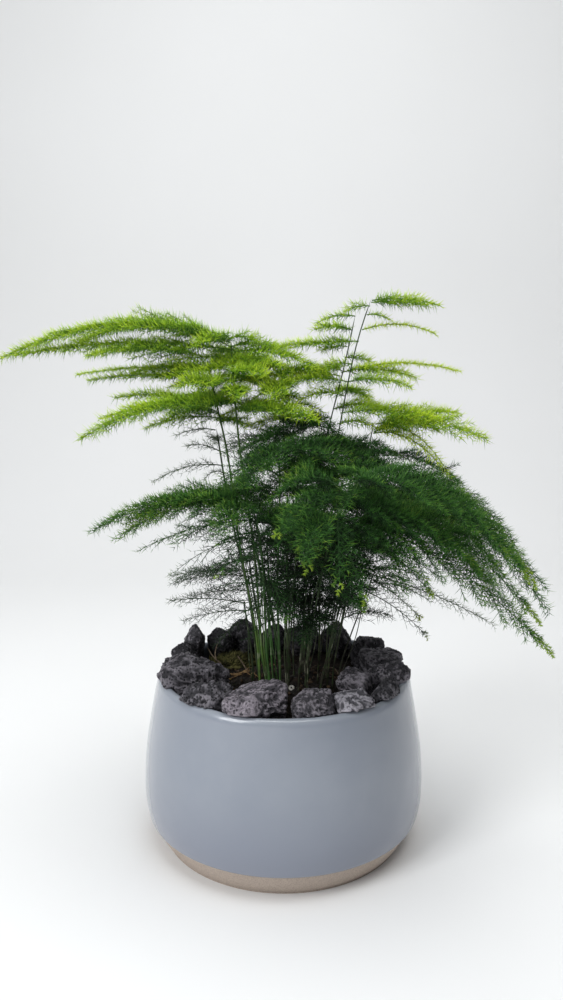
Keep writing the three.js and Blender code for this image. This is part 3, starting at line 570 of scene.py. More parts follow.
# A stem is (name, kind, foot, crown, bow, sprays), in millimetres. At bow 1 it leans evenly, and
# above 1 it rises steeply first. A spray is (height it leaves the stem at, bearing in degrees,
# reach, arch, fall at the tip, half breadth). Bearing 0 is +X, to the right; 270 faces the front.
STEMS = [
    ("tall_left", "bright", (-9, -10), (-29, 0, 274), 1, [
        (272, 188, 117, 12, -12, 19), (267, 176, 90, 13, -2, 15), (267, 12, 34, 4, -5, 12),
        (269, 178, 28, 2, 4, 8), (271, 8, 15, 2, -1, 9), (265.5, 184, 112, 5, -3.5, 13),
        (264, 350, 46, 4, -8, 14), (261.5, 184, 32, 1, -2, 6), (252, 300, 34, 3, -1, 13),
        (248, 234, 42, 3, -3, 16), (243, 95, 46, 4, -4, 13), (238, 207, 83, 7.5, -18, 17),
        (237.5, 194, 70, 4, -8, 12), (235, 323, 52, 3, -6, 13)]),
    ("tall_far_left", "bright", (-13, -5), (-42, 16, 265), 1.2, [
        (262, 170, 71, 5, 2, 18), (258, 18, 50, 4, -2, 14), (255, 160, 87, 3, -1, 6),
        (256, 170, 46, 3, -2, 11), (250, 174, 70, 3, 0, 8), (236, 158, 54, 3, -4, 12),
        (239, 108, 48, 4, -4, 13), (248, 165, 26, 3, -2, 8), (229, 190, 40, 3, -5, 12),
        (232, 203, 56, 5, 8, 13)]),
    ("tall_right", "bright", (19, -5), (47, 4, 292), 2.6, [
        (291.5, 352, 35, 2, -3, 10), (290.5, 5, 30, 1, -1, 9), (284, 8, 12, 1, -2, 6),
        (288.5, 180, 12, 1, -2, 8), (276, 16, 43, 4, -1, 2), (270, 168, 52, 1, -3, 10),
        (255, 16, 64, 4, 0, 5), (258, 190, 16, 1, -2, 9), (248.5, 337, 34, 3, -3, 11),
        (248.5, 186, 44, 3, -2, 12), (226, 5, 22, 3, -3, 8), (241, 190, 24, 3, -2, 9),
        (232, 346, 52, 3, -3, 14)]),
    ("tall_mid_right", "bright", (14, 2), (41, 16, 291), 2.2, [
        (284.5, 165, 21, 2, -3, 6), (277, 215, 24, 2, -1, 10), (255, 122, 30, 3, -3, 11),
        (252, 190, 52, 3, -3, 15), (244, 60, 44, 3, -5, 12), (229, 176, 46, 3, -4, 13),
        (254, 350, 40, 3, -3, 13), (234, 20, 38, 4, -3, 12), (268, 190, 14, 1, -2, 9),
        (262, 10, 15, 1, -2, 8)]),
    ("bright_right", "bright", (24, -10), (50, 2, 228), 1.3, [
        (226, 341, 58, 5, -7, 20), (223, 16, 50, 4, 9, 14), (222, 349, 39, 10, -20, 5),
        (221, 353, 43, 9, -26, 9), (221, 352, 34, 5, 2, 14)]),
    ("bright_middle", "bright", (3, -2), (0, 8, 258), 1.2, [
        (256, 204, 48, 3, -2, 15), (254, 348, 25, 3, -2, 10), (246, 262, 38, 3, -6, 13),
        (241, 88, 40, 3, -6, 12), (236, 150, 42, 3, -6, 12)]),
    ("left_arch", "deep", (-5, -15), (-19, -22, 192), 1.3, [
        (186.5, 199, 79, 9, -11, 10), (187, 196, 62, 8, -9, 10), (185, 202, 68, 8, -13, 10),
        (186, 252, 42, 3, -9, 13), (181, 335, 32, 3, -6, 11), (177, 161, 68, 4, -21, 12),
        (179, 212, 44, 3, -10, 12)]),
    ("left_sparse", "sparse", (-14, 4), (-39, 24, 224), 1.2, [
        (216, 98, 34, 3, -4, 9), (222, 182, 22, 2, -3, 9), (210, 172, 19, 2, 3, 8),
        (202, 167, 42, 4, -10, 8), (185, 60, 32, 2, -6, 9), (178, 214, 30, 2, -5, 8)]),
    ("left_low", "sparse", (-11, 9), (-20, 19, 153), 1.3, [
        (141, 166, 50, 2, -5, 13), (142, 177, 43, 3, -6, 11), (147, 98, 34, 3, -8, 10),
        (130, 185, 36, 2, -2, 11), (143, 32, 30, 2, -8, 9), (138, 199, 46, 3, 0, 13)]),
    ("left_lowest", "sparse", (-17, -1), (-22, 9, 128), 1.3, [
        (125, 184, 42, 2, 2, 13), (121, 165, 38, 2, -9, 12), (117, 236, 27, 2, -8, 7)]),
    ("centre_left", "deep", (-2, -17), (-3, -21, 214), 1, tiers(6, 211, 9, 250, 44, 4, -12, 13) + [
        (205, 196, 30, 5, -8, 13), (214, 338, 38, 5, -8, 14), (214, 262, 32, 4, -8, 13)]),
    ("centre", "deep", (3, -9), (10, -4, 222), 1.2, tiers(6, 219, 10, 20, 42, 4, -10, 13) + [
        (223.5, 180, 22, 4, -6, 11), (224, 90, 30, 4, -4, 12), (224, 0, 24, 4, -7, 11),
        (219, 172, 34, 5, -8, 15), (213, 352, 44, 5, -9, 15), (217, 275, 34, 4, -9, 13)]),
    ("centre_back", "deep", (6, 4), (6, 22, 218), 1.2, tiers(6, 215, 10, 130, 46, 4, -14, 13) + [
        (218, 196, 40, 5, -8, 16), (212, 10, 46, 5, -8, 15)]),
    ("centre_right", "deep", (12, -11), (33, -10, 213), 1.4, tiers(6, 209, 9, 330, 42, 4, -12, 13) + [
        (203, 8, 44, 4, -10, 15), (213, 20, 30, 5, -4, 11), (208, 200, 40, 5, -8, 14),
        (204, 285, 32, 4, -10, 13)]),
    ("right_back", "deep", (24, 5), (57, 16, 211), 1.3, tiers(6, 208, 10, 15, 48, 5, -16, 13) + [
        (209, 190, 46, 5, -8, 15), (204, 215, 44, 5, -10, 15)]),
    ("right_mid", "deep", (20, -13), (60, -18, 203), 1.4, tiers(5, 200, 9, 345, 46, 5, -20, 13) + [
        (197, 352, 62, 10, -32, 16), (190, 338, 60, 9, -38, 16), (182, 352, 56, 7, -36, 15)]),
    ("front", "deep", (2, -22), (7, -44, 190), 1.3, tiers(5, 187, 9, 275, 42, 6, -22, 12) + [
        (176, 275, 22, 3, -5, 7)]),
    ("front_left", "deep", (-7, -20), (-13, -42, 178), 1.3, tiers(5, 175, 8, 240, 34, 5, -16, 12) + [
        (172, 200, 20, 3, -3, 6)]),
    ("right_front", "deep", (13, -18), (27, -61, 202), 1.6, [
        (199, 345, 88, 20, -42, 15), (195, 216, 36, 5, -16, 11), (190, 269, 32, 6, -34, 11),
        (183, 342, 102, 12, -58, 15), (179, 293, 34, 5, -30, 10), (192, 354, 74, 12, -40, 15),
        (176, 340, 50, 8, -28, 13), (190, 344, 94, 16, -51, 14)]),
    ("right_arch", "deep", (27, -9), (51, -34, 199), 1.6, [
        (196, 330, 82, 14, -54, 14), (191, 356, 84, 12, -46, 13), (186, 38, 44, 4, -12, 11),
        (181, 284, 42, 8, -30, 11), (190, 345, 60, 9, -34, 16), (182, 350, 60, 7, -36, 15),
        (165, 324, 37, 1, -14, 4)]),
    ("right_low", "sparse", (31, 2), (52, 14, 143), 1.3, [
        (140, 351, 68, 3, -26, 9), (136, 30, 44, 3, -16, 9), (131, 326, 38, 3, -20, 8),
        (138, 296, 47, 2, -11, 4)]),
    ("back", "deep", (11, 12), (18, 54, 202), 1.4, tiers(6, 199, 10, 75, 54, 6, -22, 13)),
    ("back_left", "deep", (-2, 12), (-23, 52, 190), 1.3, tiers(5, 187, 10, 135, 54, 6, -22, 13)),
    ("back_right", "deep", (20, 12), (50, 50, 192), 1.3, tiers(5, 189, 10, 40, 54, 6, -24, 13)),
    ("far_back", "deep", (4, 15), (0, 66, 172), 1.5, tiers(4, 169, 9, 95, 46, 6, -24, 12)),
    ("young_left", "deep", (-8, -4), (-9, -7, 168), 1, tiers(3, 164, 8, 320, 24, 2, -6, 8)),
    ("young_front", "deep", (8, -18), (12, -26, 160), 1, tiers(3, 157, 8, 300, 24, 2, -6, 8)),
    ("young_right", "deep", (22, -2), (34, 2, 166), 1, tiers(3, 163, 8, 340, 26, 2, -6, 8)),
    ("young_back", "deep", (13, 7), (22, 26, 164), 1, tiers(3, 161, 8, 60, 26, 2, -6, 8)),
]
# Each kind's side twigs roll out of the spray's plane by `roll` degrees. Its needles are `needle`
# long and `thick` in radius, in tufts `tuft_step` apart, and its fillers are sprays in between.
KINDS = {
    "bright": dict(roll=19.0, needle=5.8, thick=0.21, tuft_step=0.9, widening=1.15, age=0.04, palest=1.0,
                   fillers=8, filler_fall=-3, filler_depth=5, filler_rise=0),
    "deep": dict(roll=22.0, needle=5.3, thick=0.19, tuft_step=1.1, widening=1.35, age=0.02, palest=0.76,
                 fillers=6, filler_fall=-9, filler_depth=36, filler_rise=4),
    "sparse": dict(roll=26.0, needle=4.6, thick=0.15, tuft_step=1.3, widening=1.1, age=0.1, palest=0.72,
                   fillers=1, filler_fall=-6, filler_depth=5, filler_rise=0),
}
FEWER_FILLERS = {"tall_right": 0, "tall_mid_right": 0, "bright_right": 0, "bright_middle": 3,
                 "left_arch": 4, "young_left": 0, "young_front": 0}
GREENER = {"left_arch": 0.16, "right_front": 0.10, "right_arch": 0.08, "front": 0.06, "tall_right": 0.16,
           "tall_mid_right": 0.14, "bright_right": 0.12, "bright_middle": 0.06, "tall_left": 0.04}
FRESH_TIPS = ("front", "front_left", "right_front", "right_low")
SLIM_SHOOTS = ("tall_right", "tall_far_left")
SLIM_BREADTH = 6.0
SLIM_NEEDLES = 0.65
DENSE_STEM = "left_low"
STEM_POINTS = 26
STEM_RADII = (0.52, 0.36)
STEM_SWAY = 0.8
SWAY_GROWS_OVER = 20.0
LEFT_UP_TO = 2.0
LEFT_THICKER = 1.3
RIGHT_THINNER = 0.9
GREEN_BARK = 0.1
# On the right of the bush the bark is browner and darker, partly its colour, partly painted shade.
BROWN_AND_SHADED_BARK = 0.9
TWIN_POINTS = 18
TWIN_RADII = (0.30, 0.24)
RIB_POINTS = 16
RIB_RADII = (0.35, 0.12)
RIB_ABOVE = 0.7
RIB_AGE_AND_CANE = (0.35, 0.5)
TWIG_POINTS = 3
TWIG_RADII = (0.2, 0.09)
TWIG_AGE_AND_CANE = (0.45, 0.0)
TWIG_STEP = 2.7
SPARSE_STEP = 1.4
AIRY_STEP = 2.3
AIRY_UP_TO = 5.0
TWIG_LEAN = 48.0
TWIG_SHORTEST = 2.5
TWIG_SAG = 0.09
TWIG_SWEEP = 0.13
NEEDLE_LEAN = (50, 82)
NEEDLE_LENGTHS = (0.62, 1.12)
LONG_SPRAY = 60.0
LONG_WIDENING = 0.12
HANGING = 0.55
LOWEST_SPRAY = 147.0
LOW_SPRAYS = 3
THIN_BELOW = 180.0
THINNED = 0.25
THINNED_ON_LEFT = 0.5
# How much painted shade darkens the needles low in the bush and near its middle.
PAINTED_SHADE_INSIDE = 0.75
AGE_ALONG_SPRAY = 0.52
YOUNG_BREADTH = 5.0
YOUNG_FALL = -19.0
YOUNGER = 0.6
PALER = 0.25
TIP_FROM = 0.88
TIP_NEEDLES = 14
TIP_NEEDLE = 2.2
TIP_STEP = 0.7
BARK_BELOW = (84 * MM, 125 * MM)
SHADED_ABOVE = (104 * MM, 132 * MM)
PALE_PATCHES_BELOW = (96 * MM, 130 * MM)
OLD_BARK = (0.045, 0.042, 0.030)
SHADED_BARK = (0.020, 0.045, 0.014)
PALE_CANE_PATCH = (0.300, 0.310, 0.220)
LEAF_COLOURS = {
    "bright": [(0.0, (0.016, 0.066, 0.008)), (0.3, (0.084, 0.230, 0.012)),
               (0.6, (0.270, 0.470, 0.016)), (1.0, (0.590, 0.760, 0.040))],
    "deep": [(0.0, (0.003, 0.009, 0.003)), (0.3, (0.009, 0.037, 0.008)),
             (0.55, (0.034, 0.121, 0.018)), (0.8, (0.085, 0.220, 0.028)),
             (1.0, (0.290, 0.430, 0.040))],
    "sparse": [(0.0, (0.012, 0.026, 0.010)), (0.5, (0.045, 0.090, 0.034)),
               (0.8, (0.120, 0.200, 0.055)), (1.0, (0.380, 0.460, 0.060))],
}
CANE_COLOURS = {"bright": (0.105, 0.200, 0.040), "deep": (0.050, 0.130, 0.030),
                "sparse": (0.055, 0.085, 0.038)}


def leaf_material(kind):
    """Needles run from dark green to pale green by the number stored on them, which climbs from old
    to young and also carries painted light on needles that point up and painted shade deep in the
    bush. Canes are duller, with brown patches, painted shade higher up under the needles, and pale
    patches towards the soil."""
    finish = Finish(f"leaf_{kind}", Specular_IOR_Level=0.22)
    # The stored number is the needles' age together with painted light and shade.
    age = finish.stored("age")
    cane = finish.stored("cane")
    patch = finish.noise(70.0, 3.0)
    shade = age + (patch - 0.5) * 0.4
    leaf = finish.node("ShaderNodeValToRGB", {"stops": LEAF_COLOURS[kind]}, {0: shade}, output="Color")
    height = finish.height()
    streak = finish.noise(240.0, 4.0)
    low = (1 - height.steps_up(*BARK_BELOW)) * streak.steps_up(0.42, 0.62)
    bark = finish.colour(low * 0.5 + age * 0.78, CANE_COLOURS[kind], OLD_BARK)
    bark = finish.colour(height.steps_up(*SHADED_ABOVE) * 0.55, bark, SHADED_BARK)
    # Pale patches on the canes towards the soil.
    pale_patch = finish.noise(150.0, 3.0).steps_up(0.56, 0.68)
    bark = finish.colour(pale_patch * (1 - height.steps_up(*PALE_PATCHES_BELOW)) * 0.6, bark, PALE_CANE_PATCH)
    normal = finish.bump(finish.noise(900.0, 2.0), 0.05 * MM)
    both = finish.colour(cane, leaf, bark)
    return finish.set(Base_Color=both, Roughness=patch * 0.2 + 0.42, Normal=normal)


def square_to(ahead, steep):
    """Two directions square to each way ahead: one level, to its left, and one over it. Where the
    way is steep, the level one starts from +X instead."""
    guide = np.where(steep, [1.0, 0, 0], [0, 0, 1.0])
    left = one_long(np.cross(guide, ahead))
    return left, np.cross(ahead, left)


def taper(radii, points, count=1):
    """Radii that go evenly from the first to the second, the same for each of `count` canes."""
    return np.tile(np.linspace(*radii, points), (count, 1))


def canes(lines, radii, sides, first=0.25):
    """Tapered canes along many lines at once: `lines` is (cane, point, xyz), `radii` is (cane,
    point). A ring stands square to the line at each point but the last, which is the cane's tip,
    and starts `first` of a side away from level."""
    count, points, _ = lines.shape
    ahead = one_long(np.gradient(lines, axis=1))
    left, over = square_to(ahead, np.abs(ahead[:, :1, 2:]) > 0.8)
    turn = (np.arange(sides) + first) * TURN / sides
    ring = left[:, :, None] * np.cos(turn)[:, None] + over[:, :, None] * np.sin(turn)[:, None]
    rings = (lines[:, :, None] + ring * radii[:, :, None, None])[:, :-1]
    places = np.concatenate([rings.reshape(count, -1, 3), lines[:, -1:]], axis=1)
    walls = in_halves(ring_faces(points - 1, sides))
    step = np.arange(sides)
    last = (points - 2) * sides
    tip = np.stack([last + step, last + (step + 1) % sides, np.full(sides, places.shape[1] - 1)], 1)
    foot = np.stack([np.zeros(sides - 2, int), step[2:], step[1:-1]], 1)
    one = np.vstack([walls, tip, foot])
    offset = np.arange(count)[:, None, None] * places.shape[1]
    return places.reshape(-1, 3), (one[None] + offset).reshape(-1, 3)


def needles(roots, ahead, lengths, radius):
    """Slim spikes: three-sided canes from each root straight ahead to a tip."""
    lines = np.stack([roots, roots + ahead * lengths[:, None]], axis=1)
    return canes(lines, np.full((len(lines), 2), radius), 3, first=0)


def stem_point(foot, crown, bow, z):
    """Point of a stem at height z: upright in the soil, then leaning by the power `bow`."""
    z = np.asarray(z, float)
    lean = np.clip((z - MOUND) / (crown[2] - MOUND), 0, None) ** bow
    x = foot[0] + (crown[0] - foot[0]) * lean
    y = foot[1] + (crown[1] - foot[1]) * lean
    return np.stack([x, y, z], axis=-1)


def rib_point(start, spray, u):
    """Point of a midrib at u from 0 to 1: a straight run out, lifted by a parabola `arch` high in
    its middle, and by an even rise or fall to the tip."""
    _, bearing, reach, arch, fall, _ = spray
    way = np.array([np.cos(np.radians(bearing)), np.sin(np.radians(bearing)), 0])
    lift = fall * u + 4 * arch * u * (1 - u)
    return start + way * (reach * u)[:, None] + np.array([0, 0, 1.0]) * lift[:, None]


def grow_spray(start, spray, roll, step, draw):
    """The midrib, its side twigs and where tufts of needles sit. Twigs leave the midrib at
    TWIG_LEAN, left and right in turn, longest a third of the way out, and sag a little."""
    reach, breadth = spray[2], spray[5]
    u = np.linspace(0, 1, RIB_POINTS)
    rib = rib_point(start, spray, u)
    count = max(4, int(reach / step)) * 2
    at = np.clip(np.linspace(0.07, 0.985, count) + draw.uniform(-0.3, 0.3, count) / count, 0.04, 0.99)
    root = rib_point(start, spray, at)
    ahead = one_long(rib_point(start, spray, at + 0.01) - root)
    left = one_long(np.cross([0, 0, 1.0], ahead))
    over = np.cross(ahead, left)
    outline = np.minimum(1, 0.55 + 1.7 * at) * (1 - at) ** 0.62
    length = np.maximum(TWIG_SHORTEST, breadth * 1.12 * outline * draw.uniform(0.72, 1.12, count))
    side = np.where(np.arange(count) % 2 == 0, 1.0, -1.0)
    lean = np.radians(TWIG_LEAN + draw.uniform(-9, 9, count) - 14 * at)
    tilt = np.radians(roll * left[:, 1] * side + draw.normal(2, 0.55 * roll, count))
    out = left * (side * np.cos(tilt))[:, None] + over * np.sin(tilt)[:, None]
    way = ahead * np.cos(lean)[:, None] + out * np.sin(lean)[:, None]
    s = np.linspace(0, 1, TWIG_POINTS)[None, :, None]
    sag = np.stack([0 * length, 0 * length, -TWIG_SAG * length], axis=1)[:, None]
    sweep = (ahead * (TWIG_SWEEP * length)[:, None])[:, None]
    twigs = root[:, None] + way[:, None] * length[:, None, None] * s + (sag + sweep) * s**2
    return rib, twigs, length, at


def tufts(lines, lengths, ages_and_shade, palest, draw, per_tuft, needle, step, hanging=HANGING):
    """Needles along each line: a tuft every `step`, its needles fanned round the line, more above
    it than below. Those near the tip are shorter, paler and closer to the line. Needles that point
    up are given painted light and those that point down painted shade. A line that hangs down
    carries fewer tufts."""
    rise = (lines[:, -1, 2] - lines[:, 0, 2]) / lengths
    share = hanging + (1 - hanging) * np.clip(1 + 4 * rise, 0, 1)
    count = np.maximum(2, np.round(lengths * share / step)).astype(int) * per_tuft
    line = np.repeat(np.arange(len(lines)), count)
    order = np.arange(len(line)) - np.repeat(np.cumsum(count) - count, count)
    s = np.clip((order // per_tuft + draw.uniform(0.3, 1.1, len(line))) / (count[line] / per_tuft), 0.02, 1)
    spans = lines.shape[1] - 1
    span = np.minimum((s * spans).astype(int), spans - 1)
    part = (s * spans - span)[:, None]
    first, second = lines[line, span], lines[line, span + 1]
    root = first * (1 - part) + second * part
    ahead = one_long(second - first)
    left, over = square_to(ahead, np.abs(ahead[:, 2:]) > 0.8)
    turn = TURN * spread(order * 1.0 + line * 0.37) + draw.uniform(-0.4, 0.4, len(line))
    lean = np.radians(draw.uniform(*NEEDLE_LEAN, len(line)) - 26 * s**3)
    out = one_long(left * np.cos(turn)[:, None] + over * (0.22 + 0.9 * np.sin(turn))[:, None])
    way = one_long(ahead * np.cos(lean)[:, None] + out * np.sin(lean)[:, None])
    uneven = draw.uniform(*NEEDLE_LENGTHS, len(line)) * (1 - 0.35 * s**4)
    long = np.broadcast_to(needle, len(lines))[line] * uneven
    # Painted light and shade: a needle is paler the more it points up, darker the more it points down.
    age = ages_and_shade[line] + 0.32 * s**2 + 0.26 * way[:, 2] + draw.uniform(-0.13, 0.13, len(line))
    return root, way, long, np.minimum(age, palest[line])


def filler_sprays(order, name, kind, sprays):
    """Shorter sprays between a stem's own, from its lowest up to its top, turned by the golden
    angle, with the lighter inner growth of the bush. Deep green stems carry LOW_SPRAYS more, short
    and spaced out below those."""
    traits = KINDS[kind]
    heights = np.array([row[0] for row in sprays], float)
    reaches = np.array([row[2] for row in sprays], float)
    usual = traits["fillers"] if len(sprays) > 3 else traits["fillers"] // 2
    count = FEWER_FILLERS.get(name, usual)
    lowest = max(heights.min() - traits["filler_depth"], LOWEST_SPRAY)
    highest = heights.max() + traits["filler_rise"]
    rows = []
    for k in range(count):
        height = lowest + (highest - lowest) * (k + 0.5) / count
        reach = np.clip(reaches.mean() * (0.5 + 0.22 * spread(k + order)), 18, 42)
        arch = 2.5 + 2 * spread(2 * k + order) + (5 if kind == "deep" and k >= count - 3 else 0)
        fall = traits["filler_fall"] * (0.6 + 0.8 * spread(3 * k + order))
        rows.append((height, GOLDEN_ANGLE * k + 71.0 * order, reach, arch, fall, reach * 0.32))
    for k in range(LOW_SPRAYS if kind == "deep" else 0):
        height = LOWEST_SPRAY - 2 - 9 * k - 7 * spread(k + 2 * order)
        rows.append((height, GOLDEN_ANGLE * order + 150 * k, 22 + 12 * spread(order + k), 3, -3, 9))
    return rows


def twin_cane(order, spine):
    """A thinner, leafless cane out of the same root, bowed to one side of the stem by a half sine,
    that meets it again higher up."""
    along = np.linspace(0, 1, len(spine))
    way = TURN * spread(3 * order)
    aside = (2.2 + 2.4 * spread(5 * order)) * np.sin(np.pi * along)[:, None]
    line = spine + aside * [np.cos(way), 0.6 * np.sin(way), 0]
    return canes(line[None], taper(TWIN_RADII, len(spine)), 6)


def joined(shapes):
    """One mesh out of many. A shape is (places, faces, age with painted light and shade, cane), and
    the corner numbers in its faces move up by as many corners as came before."""
    counts = [len(shape[0]) for shape in shapes]
    before = np.cumsum([0] + counts[:-1])
    places = np.concatenate([shape[0] for shape in shapes])
    faces = np.concatenate([shape[1] + start for shape, start in zip(shapes, before)])
    ages_and_shade = np.concatenate([np.broadcast_to(shape[2], n) for shape, n in zip(shapes, counts)])
    wood = np.concatenate([np.broadcast_to(shape[3], n) for shape, n in zip(shapes, counts)])
    return places, faces, ages_and_shade, wood


def bare_canes(order, top):
    """The cane that leans from foot to crown and sways a little, up to the given height, and its
    twin. Both are greener on the left of the bush, and the stem is thicker there. On the right they
    are browner and darker, partly bark colour and partly painted shade."""
    _, _, foot, crown, bow, _ = STEMS[order]
    heights = np.linspace(MOUND - 4, top, STEM_POINTS)
    spine = stem_point(foot, crown, bow, heights)
    sway = STEM_SWAY * np.clip((heights[:, None] - MOUND) / SWAY_GROWS_OVER, 0, 1)
    spine[:, :2] += sway * np.sin(heights[:, None] * (0.05 + 0.02 * spread(order)) + [order, 2 * order])
    on_left = foot[0] < LEFT_UP_TO
    radii = taper(STEM_RADII, STEM_POINTS) * (LEFT_THICKER if on_left else RIGHT_THINNER)
    # Right of the bush the canes are browner and darker: partly bark colour, partly painted shade.
    bark_age_and_shade = GREEN_BARK if on_left else BROWN_AND_SHADED_BARK
    return [(*canes(spine[None], radii, 8), bark_age_and_shade, 1.0),
            (*twin_cane(order, spine[:TWIN_POINTS]), bark_age_and_shade, 1.0)]


def dressed_spray(stem, spray, is_own, draw):
    """One spray's canes, and its needles in groups of (root, way, length, age with painted light): those
    of the side twigs, of fresh tips where it has them, and of the midrib. Their age climbs along the
    spray."""
    name, kind, foot, crown, bow, _ = stem
    traits = KINDS[kind]
    height, bearing, reach, _, fall, breadth = spray
    east, south = np.cos(np.radians(bearing)), -np.sin(np.radians(bearing))
    start = stem_point(foot, crown, bow, height + RIB_ABOVE)
    long_deep = kind == "deep" and reach > LONG_SPRAY
    wide = breadth * (traits["widening"] + (LONG_WIDENING if long_deep else 0))
    airy = kind == "deep" and height < THIN_BELOW and start[0] < AIRY_UP_TO and east < -0.2
    step = TWIG_STEP * (AIRY_STEP if airy else SPARSE_STEP if kind == "sparse" else 1)
    rib, twigs, length, at = grow_spray(start, (*spray[:5], wide), traits["roll"], step, draw)
    wood = [(*canes(rib[None], taper(RIB_RADII, RIB_POINTS), 5), *RIB_AGE_AND_CANE),
            (*canes(twigs, taper(TWIG_RADII, TWIG_POINTS, len(twigs)), 3), *TWIG_AGE_AND_CANE)]
    per_tuft = 3 if kind == "deep" and height > LOWEST_SPRAY else 2
    per_tuft += long_deep or name == DENSE_STEM
    ages_and_shade = traits["age"] + GREENER.get(name, 0) + AGE_ALONG_SPRAY * at + draw.normal(0, 0.07, len(at))
    fresh = name in FRESH_TIPS and is_own and south > 0.2
    young = np.clip((at - 0.9) / 0.06, 0, 1) * fresh
    young += breadth <= YOUNG_BREADTH or (kind == "bright" and fall < YOUNG_FALL)
    palest = traits["palest"] + PALER * young
    ages_and_shade += YOUNGER * young
    hanging = 1.0 if reach > LONG_SPRAY else HANGING
    short = 1 - 0.6 * np.clip((at - 0.86) / 0.08, 0, 1) * fresh
    slim = name in SLIM_SHOOTS and breadth <= SLIM_BREADTH
    needle = traits["needle"] * (SLIM_NEEDLES if slim else 1.0)
    step = traits["tuft_step"]
    grown = [tufts(twigs, length, ages_and_shade, palest, draw, per_tuft, needle * short, step, hanging)]
    if fresh:
        tip = at > TIP_FROM
        tip_lines = twigs[tip], length[tip], ages_and_shade[tip], palest[tip]
        grown.append(tufts(*tip_lines, draw, TIP_NEEDLES, TIP_NEEDLE, TIP_STEP))
    rib_line = rib[None], np.array([reach]), ages_and_shade[:1] + 0.2, palest[:1]
    grown.append(tufts(*rib_line, draw, 2, needle, step))
    return wood, grown


def leafy_stem(order):
    """The bare canes and the dressed sprays. Below THIN_BELOW the needles are thinned out, most on
    the left, and given painted shade towards the middle."""
    name, kind, _, _, _, own = STEMS[order]
    draw = np.random.default_rng(700 + order)
    sprays = own + filler_sprays(order, name, kind, own)
    wood = bare_canes(order, max(row[0] for row in sprays) + 2)
    grown = []
    for number, spray in enumerate(sprays):
        spray_wood, spray_needles = dressed_spray(STEMS[order], spray, number < len(own), draw)
        wood += spray_wood
        grown += spray_needles
    root, way, long, age = (np.concatenate(parts) for parts in zip(*grown))
    low = np.clip((THIN_BELOW - root[:, 2]) / 18, 0, 1)
    left = np.clip((8 - root[:, 0]) / 20, 0, 1)
    thinned = (THINNED + THINNED_ON_LEFT * left) * low * (kind != "sparse")
    kept = draw.uniform(0, 1, len(age)) > thinned
    root, way, long, age, low = root[kept], way[kept], long[kept], age[kept], low[kept]
    # Painted shade: needles low in the bush and near its middle are darkened.
    within = np.clip(1.6 - np.hypot(root[:, 0] - 5, root[:, 1]) / 50, 0, 1)
    age = age - PAINTED_SHADE_INSIDE * low * within
    spikes, spike_faces = needles(root, way, long, KINDS[kind]["thick"])
    paler_tips = np.repeat(age, 4) + np.tile([0, 0, 0, 0.18], len(age))
    places, faces, ages_and_shade, cane = joined([(spikes, spike_faces, paler_tips, 0.0)] + wood)
    return mesh_piece(f"leafy_{name}", places * MM, faces, leaf_materials[kind], age=ages_and_shade, cane=cane)


leaf_materials = {kind: leaf_material(kind) for kind in LEAF_COLOURS}
for order, row in enumerate(STEMS):
    stem = leafy_stem(order)
    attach(stem, "root")
    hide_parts(f"stem_{row[0]}")


# The litter on the soil: a patch of yellow-green moss on the left, dry straw and thin twigs, brown
# crumbs of bark among the stems, and one pale bead of perlite at the front. All of it lies loose.
MOSS_CENTRE = (-31.0, 37.0)
MOSS_HALF = (15.0, 8.0)
MOSS_HEIGHT = 4.5
MOSS_SHOOTS = 900
CRUMBS = 260
BEAD = (4.4, -14.0)
# A straw is (x, y, length, bearing), and a twig is three points over the soil at its first one.
STRAWS = [(-24, 12, 20, 325), (-27, 15, 17, 335), (-21, 8, 16, 318), (-29, 10, 13, 350), (-23, 17, 12, 15),
          (-17, 7, 13, 300), (26, 22, 10, 60), (30, 12, 11, 110), (18, 30, 12, 40), (-8, 33, 11, 170)]
FALLEN_TWIGS = [[(-20.5, 12, 0), (-23.5, 15.5, 3.5), (-27, 19, 7.5)],
                [(-37, 26, 4), (-42, 29, 7.5), (-46, 33, 12)],
                [(-40, 27, 6), (-41, 31, 9), (-40, 35, 14)],
                [(24, 30, 1), (30, 23, 3), (33, 14, 1)]]
STRAW_POINTS = 9
STRAW_BOW = 0.7
STRAW_RADII = (0.5, 0.2)
FALLEN_TWIG_RADII = (0.5, 0.25)
MOSS_NEEDLE_RADIUS = 0.3
CRUMB_SIZES = (0.5, 1.75)
BEAD_RADIUS = 1.1
BEAD_THICKNESS = 0.6


def litter_material(name, first, second, grain, bumps):
    """Two shades mixed by grain of the given scale, dry and rough."""
    finish = Finish(name, Specular_IOR_Level=0.25)
    shade = finish.noise(grain, 4.0, 0.65)
    mixed = finish.colour(shade.steps_up(0.35, 0.66), first, second)
    return finish.set(Base_Color=mixed, Roughness=shade * 0.2 + 0.7, Normal=finish.bump(shade, bumps * MM))


def straw_line(x, y, length, bearing):
    """A line through (x, y) that starts and ends level with the soil, bows up between by a
    parabola, and bends a little to one side."""
    along = np.linspace(-0.5, 0.5, STRAW_POINTS)
    way = np.radians(bearing)
    bend = 0.12 * length * (along**2 - 0.08)
    x = x + along * length * np.cos(way) - bend * np.sin(way)
    y = y + along * length * np.sin(way) + bend * np.cos(way)
    z = soil_height(x, y) + 0.35 + STRAW_BOW * (1 - 4 * along**2)
    return np.stack([x, y, z], axis=1)


def six_sided_canes(name, lines, radii, shades):
    """Canes along the given lines, tapered evenly from the first radius to the second."""
    places, faces = canes(np.array(lines), taper(radii, len(lines[0]), len(lines)), 6)
    return mesh_piece(name, places * MM, faces, shades)


def straw_piece():
    """Dry, flat-lying blades, 10 to 20 mm long."""
    shades = litter_material("dry_straw", (0.36, 0.23, 0.10), (0.16, 0.095, 0.045), 500.0, 0.2)
    return six_sided_canes("straw", [straw_line(*row) for row in STRAWS], STRAW_RADII, shades)


